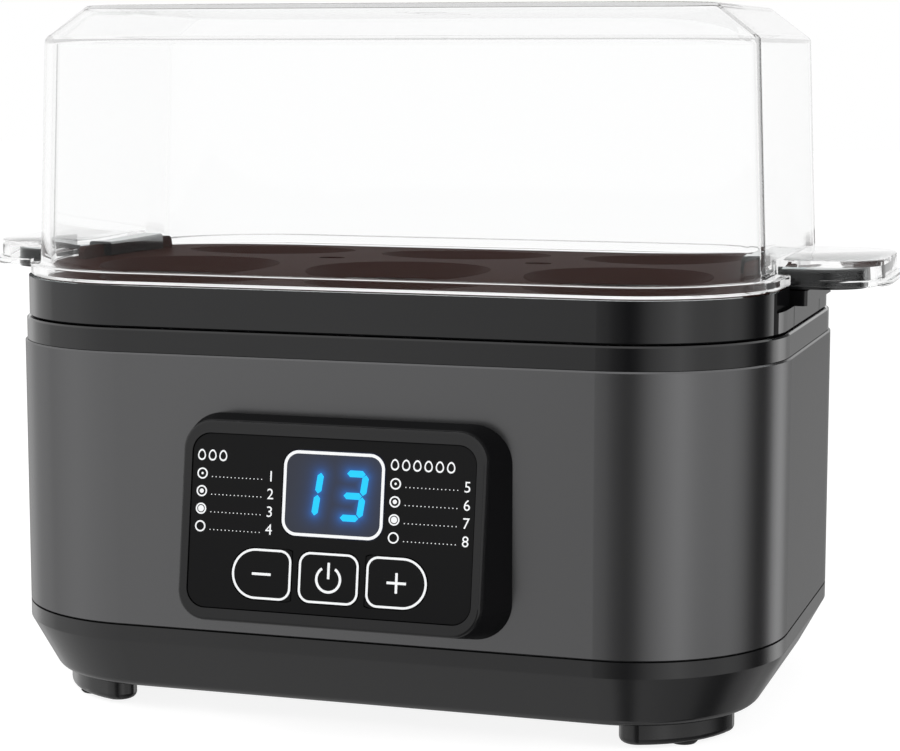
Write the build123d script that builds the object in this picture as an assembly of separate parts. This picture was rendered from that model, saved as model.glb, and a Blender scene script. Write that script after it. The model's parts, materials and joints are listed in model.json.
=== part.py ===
from build123d import *
import math
import os

# Electric egg cooker for six hen's eggs. Millimetres, +Z up, +X to the right of someone
# facing the control panel, which looks along -Y. The origin is on the table, under the middle.

# Body plan: one rounded rectangle that every band follows
body_width = 171.0
body_depth = 117.5
body_corner = 33.5
wall = 2.2

# Heights of the bands, from the table up
pad_proud = 0.7
foot_height = 4.6
base_height = 15.1
base_band = 3.4
shell_height = 58.7
collar_height = 5.1
rim_height = 8.7

# Setbacks of the bands from the body plan
collar_inset = 0.45
rim_inset = 1.05
base_inset = 6.4

# Gaps between pieces
part_gap = 0.3
fit_gap = 0.2
parting_chamfer = 0.35

# Feet
foot_arc = 21.0
foot_width = 7.6
foot_sweep = 55.0
foot_round = 1.4
pad_radius = 3.0
pad_thickness = 1.7
pad_chamfer = 0.4

# Base cover
base_round = 3.0
tongue_height = 3.2
tongue_wall = 1.4
screw_end_margin = 45.5
screw_side_margin = 11.95
tower_radius = 3.7
screw_radius = 1.5
screw_head_radius = 2.8
screw_head_height = 2.0
screw_length = 12.0
tower_height = 17.0
vent_count = 7
vent_length = 24.0
vent_width = 2.0
vent_pitch = 5.0

# Cord gland, at the back of the base
gland_x = -22.0
gland_bore = 3.3
gland_radius = 5.0
gland_flange = 6.0
gland_flange_thickness = 2.0
gland_length = 15.0
gland_rise = 7.9
gland_boss_length = 5.6
gland_seat_gap = 0.1

# Water pan and what seals it
pan_end_margin = 13.5
pan_side_margin = 12.75
pan_corner = 21.0
pan_wall = 1.4
pan_drop = 11.0
pan_flange = 4.0
pan_floor_round = 5.0
ledge_thickness = 2.0
ledge_drop = 0.7
gasket_thickness = 1.2
rim_wall = 3.0
rim_shelf = 3.0
rim_shelf_drop = 2.0
rim_lip_thickness = 1.6

# Ledges at the ends of the rim that carry the rack's handles
ledge_width = 34.0
ledge_reach = 2.6
ledge_height = 3.2
ledge_lip = 0.9
relief_width = 16.0
relief_depth = 1.0

# Rack
rack_end_margin = 12.3
rack_side_margin = 8.25
seat_top_radius = 20.0
seat_low_radius = 14.6
seat_drop = 6.4
rack_plate = 2.0
rack_wall = 1.6
end_wall_gap = 4.3
end_wall_span = 50.0
end_wall_rise = 4.2
steam_hole_radius = 3.0

# Rack handles
handle_width = 34.0
handle_overhang = 13.0
handle_thickness = 4.1
handle_corner = 9.0
hook_width = 30.0
hook_rise = 5.1
hook_wall = 1.9
slot_rise = 1.0
groove_gap = 0.5
handle_underside_step = 0.85

# Lid
lid_end_step = 4.4
lid_side_step = 3.85
lid_corner = 30.0
lid_facet = 1.0
lid_draft = 2.3
lid_wall_height = 51.2
lid_roof_rise = 7.05
lid_roof_run = 9.3
lid_wall = 1.8
lid_flange_inset = 0.5
lid_flange_height = 2.3
grip_end_gap = 2.1
grip_side_gap = 0.9
grip_top_gap = 0.6
grip_plate = 1.6
grip_wall = 1.6
grip_lip = 1.6
grip_lip_height = 1.4
grip_lip_run = 1.5
grip_corner = 10.5
steam_slot_length = 12.0
steam_slot_width = 3.0
steam_slot_pitch = 9.0

# Control panel: a wedge that stands out more at its foot, seen along its own tilted plane
panel_tilt = 8.5
panel_reach = 10.75
panel_middle_z = 46.65
panel_width = 64.5
panel_height = 40.8
panel_corner = 6.0
panel_back_width = 70.5
panel_back_height = 44.2
panel_back_z = 45.2
panel_back_corner = 8.0
glass_width = 60.9
glass_height = 35.8
glass_corner = 4.0
glass_thickness = 2.0
glass_sunk = 0.3
panel_socket_width = 62.0
panel_socket_height = 37.0
socket_wall = 1.6
glass_ledge = 1.0
socket_length = 7.0
clamp_thickness = 2.0
clamp_overlap = 3.0

# Display and keys, placed on the tilted plane
window_width = 21.7
window_height = 17.4
window_corner = 3.2
window_middle_x = 0.45
window_middle_y = 6.55
key_height = 10.45
key_middle_x = 0.2
key_middle_y = -10.3
key_width = 13.0
key_pitch = 14.45
key_corner = 2.6
key_thickness = 2.4
key_travel = 0.6
key_gap = 0.2
key_rim = 0.7
key_rim_thickness = 0.8
key_stem_radius = 2.0
display_height = 7.0
module_margin = 1.25
board_thickness = 1.6
board_drop = 9.0
switch_size = 6.0
switch_height = 3.4
plunger_radius = 1.7
plunger_height = 0.8
buzzer_x = 18.0
buzzer_radius = 4.5
buzzer_height = 5.5

# Heating parts under the pan
element_radius = 3.3
element_leg = 38.0
element_bend = 19.0
element_clearance = 0.3
cap_length = 5.0
blade_length = 8.0
blade_width = 6.0
blade_thickness = 0.8
clamp_width = 12.0
clamp_x = 24.0
clamp_overhang = 9.0
clamp_strap = 1.2
shield_thickness = 0.8
shield_drop = 16.0
shield_width = 120.0
shield_depth = 70.0
shield_corner = 12.0
shield_lip = 5.0
shield_arm_y = 20.0
shield_arm_width = 8.0
shield_foot = 4.0
thermostat_radius = 8.0
thermostat_height = 5.0
fuse_radius = 2.0
fuse_length = 12.0
fuse_x = 46.0
fuse_wire_radius = 0.5
fuse_wire_length = 5.0
sensor_radius = 2.4
sensor_length = 9.0
sensor_x = -44.0

# Power supply on the base floor
supply_width = 84.0
supply_depth = 46.0
supply_y = 12.0
post_height = 5.0
post_radius = 3.0
post_inset = 5.0
board_head_radius = 2.5
board_head_height = 1.6
board_screw_length = 5.5
relay_place = (22.0, 10.0)
relay_size = (19.0, 15.4, 15.2)
transformer_place = (2.0, -9.0)
transformer_size = (22.0, 20.0, 16.0)
capacitor_place = (-24.0, -8.0)
capacitor_size = (18.0, 8.6, 14.4)
terminal_place = (-17.0, 14.0)
terminal_size = (26.0, 14.0, 12.0)

# How far a cutting shape runs past what it cuts
cut_run = 200.0

# Places worked out from the body plan
screw_x = body_width / 2 - screw_end_margin
screw_y = body_depth / 2 - screw_side_margin
pan_width = body_width - 2 * pan_end_margin
pan_depth = body_depth - 2 * pan_side_margin
egg_pitch_x = (body_width - 2 * rack_end_margin) / 3
egg_pitch_y = (body_depth - 2 * rack_side_margin) / 2
lid_half_width = body_width / 2 - lid_end_step
lid_half_depth = body_depth / 2 - lid_side_step
end_wall_x = lid_half_width - end_wall_gap
handle_reach = body_width / 2 + handle_overhang
grip_reach = handle_reach + grip_end_gap + grip_wall
panel_middle_y = -body_depth / 2 - panel_reach

# Heights worked out from the bands
base_low = pad_proud + foot_height
shell_low = base_low + base_height
collar_low = shell_low + shell_height
rim_low = collar_low + collar_height
rim_top = rim_low + rim_height
floor_top = base_low + wall
ledge_top = rim_low - ledge_drop - rim_lip_thickness - gasket_thickness
pan_flange_low = ledge_top + gasket_thickness
pan_flange_top = pan_flange_low + pan_wall
pan_floor_top = pan_flange_top - pan_drop
pan_floor_low = pan_floor_top - pan_wall
corner_x = body_width / 2 - body_corner
corner_y = body_depth / 2 - body_corner


def to_origin():
    """How far the body moves back, so that the origin lies midway between panel and gland."""
    front = panel_middle_y - (panel_height / 2 - 0.5) * math.sin(math.radians(panel_tilt))
    back = body_depth / 2 + gland_seat_gap + gland_flange_thickness
    return -(front + back) / 2


def plan(inset, z):
    """The body's rounded rectangle, drawn in by inset, at height z."""
    shape = RectangleRounded(body_width - 2 * inset, body_depth - 2 * inset, body_corner - inset)
    return Plane.XY.offset(z) * shape


def slab(inset, low, high):
    return extrude(plan(inset, low), amount=high - low)


def rounded(width, depth, corner, low, high):
    return extrude(Plane.XY.offset(low) * RectangleRounded(width, depth, corner), amount=high - low)


def rod(x, y, radius, low, high):
    return Pos(x, y, low) * extrude(Circle(radius), amount=high - low)


def block(x_low, x_high, y_low, y_high, z_low, z_high):
    size = (x_high - x_low, y_high - y_low, z_high - z_low)
    middle = ((x_low + x_high) / 2, (y_low + y_high) / 2, (z_low + z_high) / 2)
    return Pos(*middle) * Box(*size)


def four(x, y):
    return [(sx * x, sy * y) for sx in (-1, 1) for sy in (-1, 1)]


def save(name, *solids):
    """Writes one named piece, or one group of like pieces, to its own file."""
    placed = [Pos(0, to_origin(), 0) * solid for solid in solids]
    shape = placed[0] if len(placed) == 1 else Compound(children=placed)
    export_step(shape, f"parts/{name}.step")


def post_places():
    """The four posts that the power board stands on."""
    return four(supply_width / 2 - post_inset, supply_depth / 2 - post_inset)


# Base cover
def tub(inset, low):
    """The tapering outside of the base, or with an inset the space inside it."""
    band_low = shell_low - base_band
    drop = band_low - low
    taper = math.degrees(math.atan(base_inset / (band_low - base_low)))
    band = slab(inset, band_low, shell_low)
    bowl = extrude(plan(inset, band_low), amount=-drop, taper=taper)
    return band + bowl


def foot_plan(width, corner):
    """A foot's outline: a round-ended slot that follows one corner of the body."""
    angle = corner - foot_sweep / 2
    arc = CenterArc((0, 0), foot_arc, angle, foot_sweep)
    return SlotArc(arc, width)


def corners():
    """Each body corner's arc centre with the direction that it faces."""
    return (((corner_x, corner_y), 45), ((-corner_x, corner_y), 135),
            ((-corner_x, -corner_y), 225), ((corner_x, -corner_y), 315))


def pad_places():
    for (x, y), angle in corners():
        turn = math.radians(angle)
        yield x + foot_arc * math.cos(turn), y + foot_arc * math.sin(turn)


def make_base_cover():
    outside = tub(0, base_low)
    low_edges = outside.edges().group_by(Axis.Z)[0]
    outside = fillet(low_edges, base_round)
    cover = outside - tub(wall, floor_top)
    tongue = slab(wall + fit_gap, shell_low - 2, shell_low + tongue_height)
    tongue -= slab(wall + fit_gap + tongue_wall, shell_low - 2, shell_low + tongue_height)
    cover += tongue
    shoulder = slab(wall - 0.2, shell_low - 2, shell_low)
    cover += shoulder - slab(wall + fit_gap + tongue_wall, shell_low - 2, shell_low)
    for (x, y), angle in corners():
        foot = extrude(foot_plan(foot_width, angle), amount=foot_height + wall / 2)
        foot = fillet(foot.edges().group_by(Axis.Z)[0], foot_round)
        cover += Pos(x, y, pad_proud) * foot
    for x, y in pad_places():
        cover -= rod(x, y, pad_radius + fit_gap / 2, pad_proud - 1, pad_thickness)
    for x, y in four(screw_x, screw_y):
        cover += rod(x, y, tower_radius, floor_top - 1, base_low + tower_height)
    for x, y in four(screw_x, screw_y):
        cover -= rod(x, y, screw_radius + fit_gap, base_low - 1, cut_run)
        cover -= rod(x, y, screw_head_radius + fit_gap, base_low - 1, base_low + screw_head_height)
    for x, y in post_places():
        cover += rod(x, y + supply_y, post_radius, floor_top - 0.5, floor_top + post_height)
        cover -= rod(x, y + supply_y, screw_radius - fit_gap, floor_top, floor_top + post_height + 1)
    for i in range(vent_count):
        x = (i - (vent_count - 1) / 2) * vent_pitch
        slot = SlotOverall(vent_length, vent_width, rotation=90)
        cover -= Pos(x, -screw_y / 2 - 4, base_low - 1) * extrude(slot, amount=wall + 2)
    boss = Pos(gland_x, body_depth / 2 - gland_boss_length / 2, gland_z()) * Rot(90, 0, 0)
    cover += boss * Cylinder(gland_flange + 0.6, gland_boss_length)
    return cover - boss * Cylinder(gland_radius + fit_gap / 2, 3 * gland_boss_length)


def gland_z():
    return base_low + gland_rise


def make_foot_pads():
    pads = []
    for x, y in pad_places():
        pad = rod(x, y, pad_radius, 0, pad_thickness)
        pads.append(chamfer(pad.edges().group_by(Axis.Z)[0], pad_chamfer))
    return pads


def make_base_screws():
    """Cross-head screws that go up through the base into the collar's columns."""
    screws = []
    for x, y in four(screw_x, screw_y):
        head_top = base_low + screw_head_height
        screw = rod(x, y, screw_head_radius, base_low + 0.2, head_top)
        screw += rod(x, y, screw_radius, head_top - 0.1, base_low + tower_height + screw_length / 2)
        for turn in (0, 90):
            screw -= Pos(x, y, base_low + 0.5) * Rot(0, 0, turn) * Box(3.2, 0.7, 1.2)
        screws.append(screw)
    return screws


# Cord gland
def make_cable_gland():
    """A strain relief: flange outside, neck through the wall and a ribbed tail inside."""
    face = body_depth / 2 + gland_seat_gap
    inner = face - gland_length
    outer = face + gland_flange_thickness
    profile = Polyline((gland_bore, inner), (gland_radius - 1, inner), (gland_radius - 0.6, face - 6),
                       (gland_radius, face - 6), (gland_radius, face), (gland_flange, face),
                       (gland_flange - 0.8, outer), (gland_bore, outer), close=True)
    gland = revolve(Plane.XY * make_face(profile), axis=Axis.Y)
    for i in range(3):
        ring = Cylinder(gland_radius + 1, 1.2) - Cylinder(gland_radius - 1.6, 1.2)
        gland -= Pos(0, inner + 1.8 + i * 2.8, 0) * Rot(90, 0, 0) * ring
    return Pos(gland_x, 0, gland_z()) * gland


# Housing bands
def make_body_shell():
    shell = slab(0, shell_low + fit_gap / 2, collar_low - fit_gap / 2)
    shell = chamfer(shell.faces().sort_by(Axis.Z)[-1].outer_wire().edges(), parting_chamfer)
    shell = chamfer(shell.faces().sort_by(Axis.Z)[0].outer_wire().edges(), parting_chamfer)
    shell -= slab(wall, shell_low - 1, collar_low + 1)
    return shell - socket_prism(fit_gap)


def socket_prism(gap):
    """The straight opening through the front wall that the panel's back goes into."""
    y_low = -body_depth / 2 - 2
    shape = RectangleRounded(panel_socket_width + 2 * gap, panel_socket_height + 2 * gap, 3)
    front = Plane(origin=(0, y_low, panel_back_z), x_dir=(1, 0, 0), z_dir=(0, -1, 0))
    return extrude(front * shape, amount=-(socket_length + 2))


def make_lower_collar():
    """The band that carries the pan, with a tongue inside the shell and four screw columns."""
    band = slab(collar_inset, collar_low, rim_low - fit_gap)
    band = chamfer(band.faces().sort_by(Axis.Z)[-1].outer_wire().edges(), parting_chamfer)
    opening = rounded(pan_width + 2 * part_gap, pan_depth + 2 * part_gap, pan_corner + part_gap, 0, cut_run)
    collar = band - slab(collar_inset + wall, collar_low - 1, rim_low + 1)
    collar += slab(wall + fit_gap, ledge_top - ledge_thickness, ledge_top) - opening
    tongue = slab(wall + fit_gap, collar_low - tongue_height, ledge_top)
    tongue -= slab(wall + fit_gap + tongue_wall, collar_low - tongue_height, ledge_top)
    collar += tongue
    column_low = base_low + tower_height + fit_gap
    for x, y in four(screw_x, screw_y):
        collar += rod(x, y, tower_radius - 0.4, column_low, ledge_top - 0.5)
    collar -= opening
    for x, y in four(screw_x, screw_y):
        collar -= rod(x, y, screw_radius + 0.02, column_low - 1, column_low + screw_length)
    return collar


def make_pan_gasket():
    inner = pan_width / 2 + 0.8
    gasket = rounded(2 * inner + 2 * pan_flange - 2, pan_depth + 2 * pan_flange - 0.4,
                     pan_corner + pan_flange - 0.2, ledge_top, pan_flange_low)
    hole = rounded(pan_width + 1.6, pan_depth + 1.6, pan_corner + 0.8, 0, cut_run)
    return gasket - hole


def make_heating_plate():
    """The water pan: a pressed dish with a flat flange and a rounded floor edge."""
    dish = rounded(pan_width, pan_depth, pan_corner, pan_floor_low, pan_flange_top - 0.2)
    dish = fillet(dish.edges().group_by(Axis.Z)[0], pan_floor_round)
    flange = rounded(pan_width + 2 * pan_flange, pan_depth + 2 * pan_flange, pan_corner + pan_flange,
                     pan_flange_low, pan_flange_top)
    space = rounded(pan_width - 2 * pan_wall, pan_depth - 2 * pan_wall, pan_corner - pan_wall,
                    pan_floor_top, pan_flange_top + 1)
    space = fillet(space.edges().group_by(Axis.Z)[0], pan_floor_round - pan_wall)
    return dish + flange - space


def make_rim_ring():
    """The top band: a rack shelf inside, a lip over the pan's flange and a handle ledge each end."""
    band = slab(rim_inset, rim_low, rim_top)
    band = chamfer(band.faces().sort_by(Axis.Z)[0].outer_wire().edges(), parting_chamfer)
    shelf_inset = rim_inset + rim_wall - rim_shelf_drop + part_gap
    band -= slab(shelf_inset, rim_top - rim_shelf_drop - part_gap, rim_top + 1)
    band -= slab(rim_inset + rim_wall + rim_shelf - 1.6, rim_low - 1, rim_top + 1)
    hole = rounded(pan_width - 2 * pan_wall, pan_depth - 2 * pan_wall, pan_corner - pan_wall, 0, cut_run)
    lip = slab(rim_inset + rim_wall - 1, rim_low, rim_low + rim_lip_thickness) - hole
    bead_low = pan_flange_top + fit_gap / 2
    bead = rounded(pan_width + 2 * pan_flange, pan_depth + 2 * pan_flange, pan_corner + pan_flange,
                   bead_low, rim_low + 0.5)
    bead -= rounded(pan_width + pan_flange, pan_depth + pan_flange, pan_corner + pan_flange / 2, 0, cut_run)
    band += lip
    band += bead
    side = body_width / 2 - rim_inset
    for sx in (-1, 1):
        ledge_high = rim_top - ledge_lip
        half = ledge_width / 2
        ledge_low = ledge_high - ledge_height
        ledge = block(side - 1, side + ledge_reach, -half, half, ledge_low, ledge_high)
        tall = ledge.edges().filter_by(Axis.Z).sort_by(Axis.X)[-2:]
        ledge = chamfer(tall, 0.8)
        relief = block(side - relief_depth, side + 1, -half - relief_width, half + relief_width,
                       ledge_low, rim_top + 1)
        notch = block(side - rim_wall - 4, side + 4, -half - part_gap, half + part_gap,
                      ledge_high, rim_top + 1)
        piece = ledge - notch
        if sx < 0:
            piece = mirror(piece, about=Plane.YZ)
            relief = mirror(relief, about=Plane.YZ)
            notch = mirror(notch, about=Plane.YZ)
        band = band - relief - notch
        band += piece
    return band


# Egg rack and its handles
def egg_places():
    return [(i * egg_pitch_x, j * egg_pitch_y / 2) for j in (-1, 1) for i in (-1, 0, 1)]


def rack_inset():
    return rim_inset + rim_wall - rim_shelf_drop + 2 * part_gap


def make_egg_rack():
    plate = slab(rack_inset(), rim_top - rack_plate, rim_top)
    for x, y in egg_places():
        outer = Cone(seat_low_radius + rack_wall, seat_top_radius + rack_wall, seat_drop)
        plate += Pos(x, y, rim_top - seat_drop / 2) * outer
    for x, y in egg_places():
        inner = Cone(seat_low_radius, seat_top_radius, seat_drop + 0.02)
        plate -= Pos(x, y, rim_top - seat_drop / 2) * inner
    for sx in (-1, 1):
        x_low = end_wall_x - rack_wall
        half = end_wall_span / 2
        end = block(x_low, end_wall_x, -half, half, rim_top - 0.5, rim_top + end_wall_rise)
        edges = end.edges().filter_by(Axis.X).sort_by(Axis.Z)[-2:]
        end = fillet(edges, 2.0)
        plate += end if sx > 0 else mirror(end, about=Plane.YZ)
        plate -= rod(sx * egg_pitch_x / 2, 0, steam_hole_radius, rim_top - 10, rim_top + 1)
    return plate


def lid_wall_inner():
    return lid_half_width - lid_wall


def make_rack_handle(side):
    """A grip with a hook that straddles the rack's end wall and a groove for the lid's wall."""
    low = rim_top + part_gap
    outer_x = lid_half_width + groove_gap
    tab_low = low - handle_underside_step
    tab_high = tab_low + handle_thickness
    clear_of_rack = body_width / 2 - rack_inset() + part_gap
    tab = block(outer_x, handle_reach, -handle_width / 2, handle_width / 2, tab_low, tab_high)
    tab -= block(outer_x - 1, clear_of_rack, -handle_width, handle_width, tab_low - 1, low)
    tab = fillet(tab.edges().filter_by(Axis.Z).sort_by(Axis.X)[-2:], handle_corner)
    tab = fillet(tab.faces().sort_by(Axis.Z)[-1].outer_wire().edges().sort_by(Axis.X)[1:], 0.6)
    neck = block(end_wall_x, outer_x + 2, -hook_width / 2, hook_width / 2, low, low + slot_rise)
    hook_low = end_wall_x - rack_wall - fit_gap - hook_wall
    hook_high = lid_wall_inner() - groove_gap
    hook = block(hook_low, hook_high, -hook_width / 2, hook_width / 2, low, low + hook_rise)
    hook = fillet(hook.edges().filter_by(Axis.Y).sort_by(Axis.Z)[-2:], 0.9)
    slot = block(end_wall_x - rack_wall - fit_gap, end_wall_x + fit_gap, -hook_width, hook_width,
                 low - 1, rim_top + end_wall_rise + fit_gap)
    handle = tab + neck + hook - slot
    return handle if side > 0 else mirror(handle, about=Plane.YZ)


# Lid
def lid_form(inset):
    """The lid's outside, or with an inset its hollow: rounded corners cut flat at both ends."""
    slope = math.atan(lid_roof_run / lid_roof_rise)
    low = rim_top + part_gap
    wall_break = low + lid_wall_height
    drop = inset * math.tan(slope / 2)
    top = wall_break + lid_roof_rise - inset
    draft = math.radians(lid_draft)
    width = 2 * (lid_half_width + lid_facet - inset)
    depth = 2 * (lid_half_depth - inset)
    lead_in = math.tan(draft) * (lid_wall_height - drop)
    start = low - 1
    soft = RectangleRounded(width, depth, lid_corner - inset)
    flat = Rectangle(2 * (lid_half_width - inset), 4 * depth)
    stretch = wall_break - drop - start
    soft_wall = extrude(Plane.XY.offset(start) * soft, amount=stretch, taper=lid_draft)
    flat_wall = extrude(Plane.XY.offset(start) * flat, amount=stretch, taper=lid_draft)
    shrink = math.tan(draft) * stretch
    roof_plane = Plane.XY.offset(wall_break - drop)
    soft_top = RectangleRounded(width - 2 * shrink, depth - 2 * shrink, lid_corner - inset - shrink)
    flat_top = Rectangle(2 * (lid_half_width - inset - shrink), 4 * depth)
    rise = top - (wall_break - drop)
    soft_roof = extrude(roof_plane * soft_top, amount=rise, taper=math.degrees(slope))
    flat_roof = extrude(roof_plane * flat_top, amount=rise, taper=math.degrees(slope))
    return (soft_wall & flat_wall) + (soft_roof & flat_roof)


def make_grip(low):
    """One clear grip: an upside-down tray over the rack's handle, open towards the lid."""
    half = handle_width / 2 + grip_side_gap + grip_wall
    tray_high = low - handle_underside_step + handle_thickness + grip_top_gap
    inner_x = lid_half_width - lid_wall
    outer = block(inner_x, grip_reach, -half, half, low, tray_high + grip_plate)
    outer = fillet(outer.edges().filter_by(Axis.Z).sort_by(Axis.X)[-2:], grip_corner)
    lip_start = grip_reach - grip_corner - grip_lip_run
    lip_half = half + grip_lip
    lip = block(lip_start, grip_reach + grip_lip, -lip_half, lip_half, low, low + grip_lip_height)
    lip = fillet(lip.edges().filter_by(Axis.Z).sort_by(Axis.X)[-2:], grip_corner + grip_lip)
    hollow_half = half - grip_wall
    hollow = block(inner_x - 5, grip_reach - grip_wall, -hollow_half, hollow_half, low - 5, tray_high)
    hollow = fillet(hollow.edges().filter_by(Axis.Z).sort_by(Axis.X)[-2:], grip_corner - grip_wall)
    return outer, lip, hollow


def make_lid():
    low = rim_top + part_gap
    outside = lid_form(0)
    flange = slab(rim_inset + lid_flange_inset, low, low + lid_flange_height)
    body = outside + flange
    tray, lip, hollow = make_grip(low)
    groove_low = low + slot_rise + part_gap
    inner = lid_wall_inner()
    for sx in (-1, 1):
        turn = (lambda s: s) if sx > 0 else (lambda s: mirror(s, about=Plane.YZ))
        body += turn(tray)
        body += turn(lip)
    body -= block(-cut_run, cut_run, -cut_run, cut_run, low - cut_run, low)
    body -= lid_form(lid_wall)
    for sx in (-1, 1):
        turn = (lambda s: s) if sx > 0 else (lambda s: mirror(s, about=Plane.YZ))
        outer_space = hollow & block(lid_half_width, cut_run, -cut_run, cut_run, low - 5, cut_run)
        half = handle_width / 2 + grip_side_gap
        under = block(inner - 4, lid_half_width + 0.5, -half, half, low - 5, groove_low)
        body -= turn(outer_space)
        body -= turn(under)
    for i in (-1, 0, 1):
        slot = SlotOverall(steam_slot_length, steam_slot_width)
        body -= Pos(0, i * steam_slot_pitch, low + lid_wall_height) * extrude(slot, amount=cut_run)
    return body


# Control panel
def panel_plane(depth=0.0):
    """The panel's tilted front plane, moved back into the housing by depth."""
    tilt = math.radians(panel_tilt)
    normal = (0, -math.cos(tilt), math.sin(tilt))
    origin = (0, panel_middle_y - depth * normal[1], panel_middle_z - depth * normal[2])
    return Plane(origin=origin, x_dir=(1, 0, 0), z_dir=normal)


def on_panel(shape, front, back):
    """Extrudes a panel sketch from depth front to depth back."""
    return extrude(panel_plane(back) * shape, amount=back - front)


def make_panel_bezel():
    """The wedge: a tilted frame in front, a straight socket through the shell behind."""
    back_y = -body_depth / 2 - part_gap / 3
    back_plane = Plane(origin=(0, back_y, panel_back_z), x_dir=(1, 0, 0), z_dir=(0, -1, 0))
    back = back_plane * RectangleRounded(panel_back_width, panel_back_height, panel_back_corner)
    front = panel_plane() * RectangleRounded(panel_width, panel_height, panel_corner)
    wedge = loft([back, front])
    front_edges = wedge.faces().sort_by(Axis.Y)[0].outer_wire().edges()
    wedge = fillet(front_edges, 0.6)
    wedge += socket_prism(0) & block(-cut_run, cut_run, -body_depth / 2 - 1, 0, 0, cut_run)
    inner_width = panel_socket_width - 2 * socket_wall
    inner_height = panel_socket_height - 2 * socket_wall
    seat_depth = glass_sunk + glass_thickness + 0.1
    glass_seat = on_panel(RectangleRounded(glass_width, glass_height, glass_corner), -1, seat_depth)
    ledge_hole = RectangleRounded(glass_width - 2 * glass_ledge, glass_height - 2 * glass_ledge, 3)
    hollow = on_panel(ledge_hole, 0, 6)
    hollow += on_panel(RectangleRounded(inner_width, inner_height, 2.5), 5, 11)
    rear_plane = Plane(origin=(0, -body_depth / 2 - 1, panel_back_z), x_dir=(1, 0, 0), z_dir=(0, -1, 0))
    rear = extrude(rear_plane * RectangleRounded(inner_width, inner_height, 2.5), amount=-30)
    return wedge - glass_seat - hollow - rear


def key_x(which):
    return key_middle_x + which * key_pitch


def key_outline(which, grow=0.0):
    """A key's face: round at its outer end, or a rounded square in the middle."""
    width = key_width + 2 * grow
    height = key_height + 2 * grow
    corner = key_corner + grow
    if which == 0:
        return Pos(key_middle_x, key_middle_y) * RectangleRounded(width, height, corner)
    x = key_x(which)
    square = Pos(x - which * width / 4, key_middle_y) * RectangleRounded(width / 2 + corner, height, corner)
    disc = Pos(x + which * (width - height) / 2, key_middle_y) * Circle(height / 2)
    middle = Pos(x, key_middle_y) * Rectangle(width - height, height)
    left_trim = Pos(x, key_middle_y) * Rectangle(width, height)
    return (square + disc + middle) & left_trim


def window_outline(grow=0.0):
    shape = RectangleRounded(window_width + 2 * grow, window_height + 2 * grow, window_corner + grow)
    return Pos(window_middle_x, window_middle_y) * shape


def make_panel_glass():
    shape = RectangleRounded(glass_width - 2 * key_gap, glass_height - 2 * key_gap, glass_corner - key_gap)
    glass = on_panel(shape, glass_sunk, glass_sunk + glass_thickness)
    glass -= on_panel(window_outline(key_gap), -1, 5)
    for which in (-1, 0, 1):
        glass -= on_panel(key_outline(which, key_gap), -1, 5)
    return glass


def make_display_window():
    """The tinted lens, with a rim behind the front plate that holds it in."""
    back = glass_sunk + glass_thickness
    lens = on_panel(window_outline(), glass_sunk, back + 0.3)
    return lens + on_panel(window_outline(key_rim), back + fit_gap, back + 1.2)


def make_key(which):
    """One key: a face in its opening, a rim behind the plate and a stem to its switch."""
    back = glass_sunk + glass_thickness + fit_gap
    key = on_panel(key_outline(which), glass_sunk, back + 0.1)
    rim = key_outline(which, key_rim) & (Pos(key_x(which), key_middle_y) * Rectangle(key_width, cut_run))
    key += on_panel(rim, back, back + key_rim_thickness)
    stem = Pos(key_x(which), key_middle_y) * Circle(key_stem_radius)
    stem_end = glass_sunk + board_drop - switch_height - plunger_height - key_travel - 0.1
    return key + on_panel(stem, back, stem_end)


def make_display_module():
    back = glass_sunk + board_drop
    sheet = Rectangle(window_width - 2 * module_margin, window_height - 2 * module_margin)
    shape = Pos(window_middle_x, window_middle_y) * sheet
    return on_panel(shape, back - display_height + 1.8, back)


def make_control_board():
    front = glass_sunk + board_drop
    gap = socket_wall + 1
    shape = RectangleRounded(panel_socket_width - 2 * gap, panel_socket_height - 2 * gap, 1.5)
    return on_panel(shape, front, front + board_thickness)


def make_key_switches():
    switches = []
    board = glass_sunk + board_drop
    for which in (-1, 0, 1):
        place = Pos(key_x(which), key_middle_y)
        switch = on_panel(place * Rectangle(switch_size, switch_size), board - switch_height, board)
        top = board - switch_height
        switch += on_panel(place * Circle(plunger_radius), top - plunger_height, top)
        switches.append(switch)
    return switches


def make_buzzer():
    board = glass_sunk + board_drop + board_thickness
    return on_panel(Pos(buzzer_x, window_middle_y) * Circle(buzzer_radius), board, board + buzzer_height)


def make_panel_clamp():
    """A frame behind the shell that pulls the panel's socket tight against it."""
    inside = -body_depth / 2 + wall + fit_gap
    plane = Plane(origin=(0, inside, panel_back_z), x_dir=(1, 0, 0), z_dir=(0, 1, 0))
    outer = RectangleRounded(panel_socket_width + 2 * clamp_overlap, panel_socket_height + 2 * clamp_overlap, 3)
    inner = RectangleRounded(panel_socket_width + 2 * fit_gap, panel_socket_height + 2 * fit_gap, 3)
    return extrude(plane * (outer - inner), amount=clamp_thickness)


# Heating parts
def element_z():
    return pan_floor_low - element_clearance - element_radius


def make_heating_element():
    """A bare tubular heater: one hairpin, pressed against the pan's floor."""
    z = element_z()
    path = Line((element_leg, -element_bend, z), (-element_leg, -element_bend, z))
    far = -element_leg - element_bend
    bend = ThreePointArc((-element_leg, -element_bend, z), (far, 0, z), (-element_leg, element_bend, z))
    back = Line((-element_leg, element_bend, z), (element_leg, element_bend, z))
    wire = Wire([path, bend, back])
    start = Plane(origin=(element_leg, -element_bend, z), z_dir=(-1, 0, 0))
    return sweep(start * Circle(element_radius), path=wire)


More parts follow.
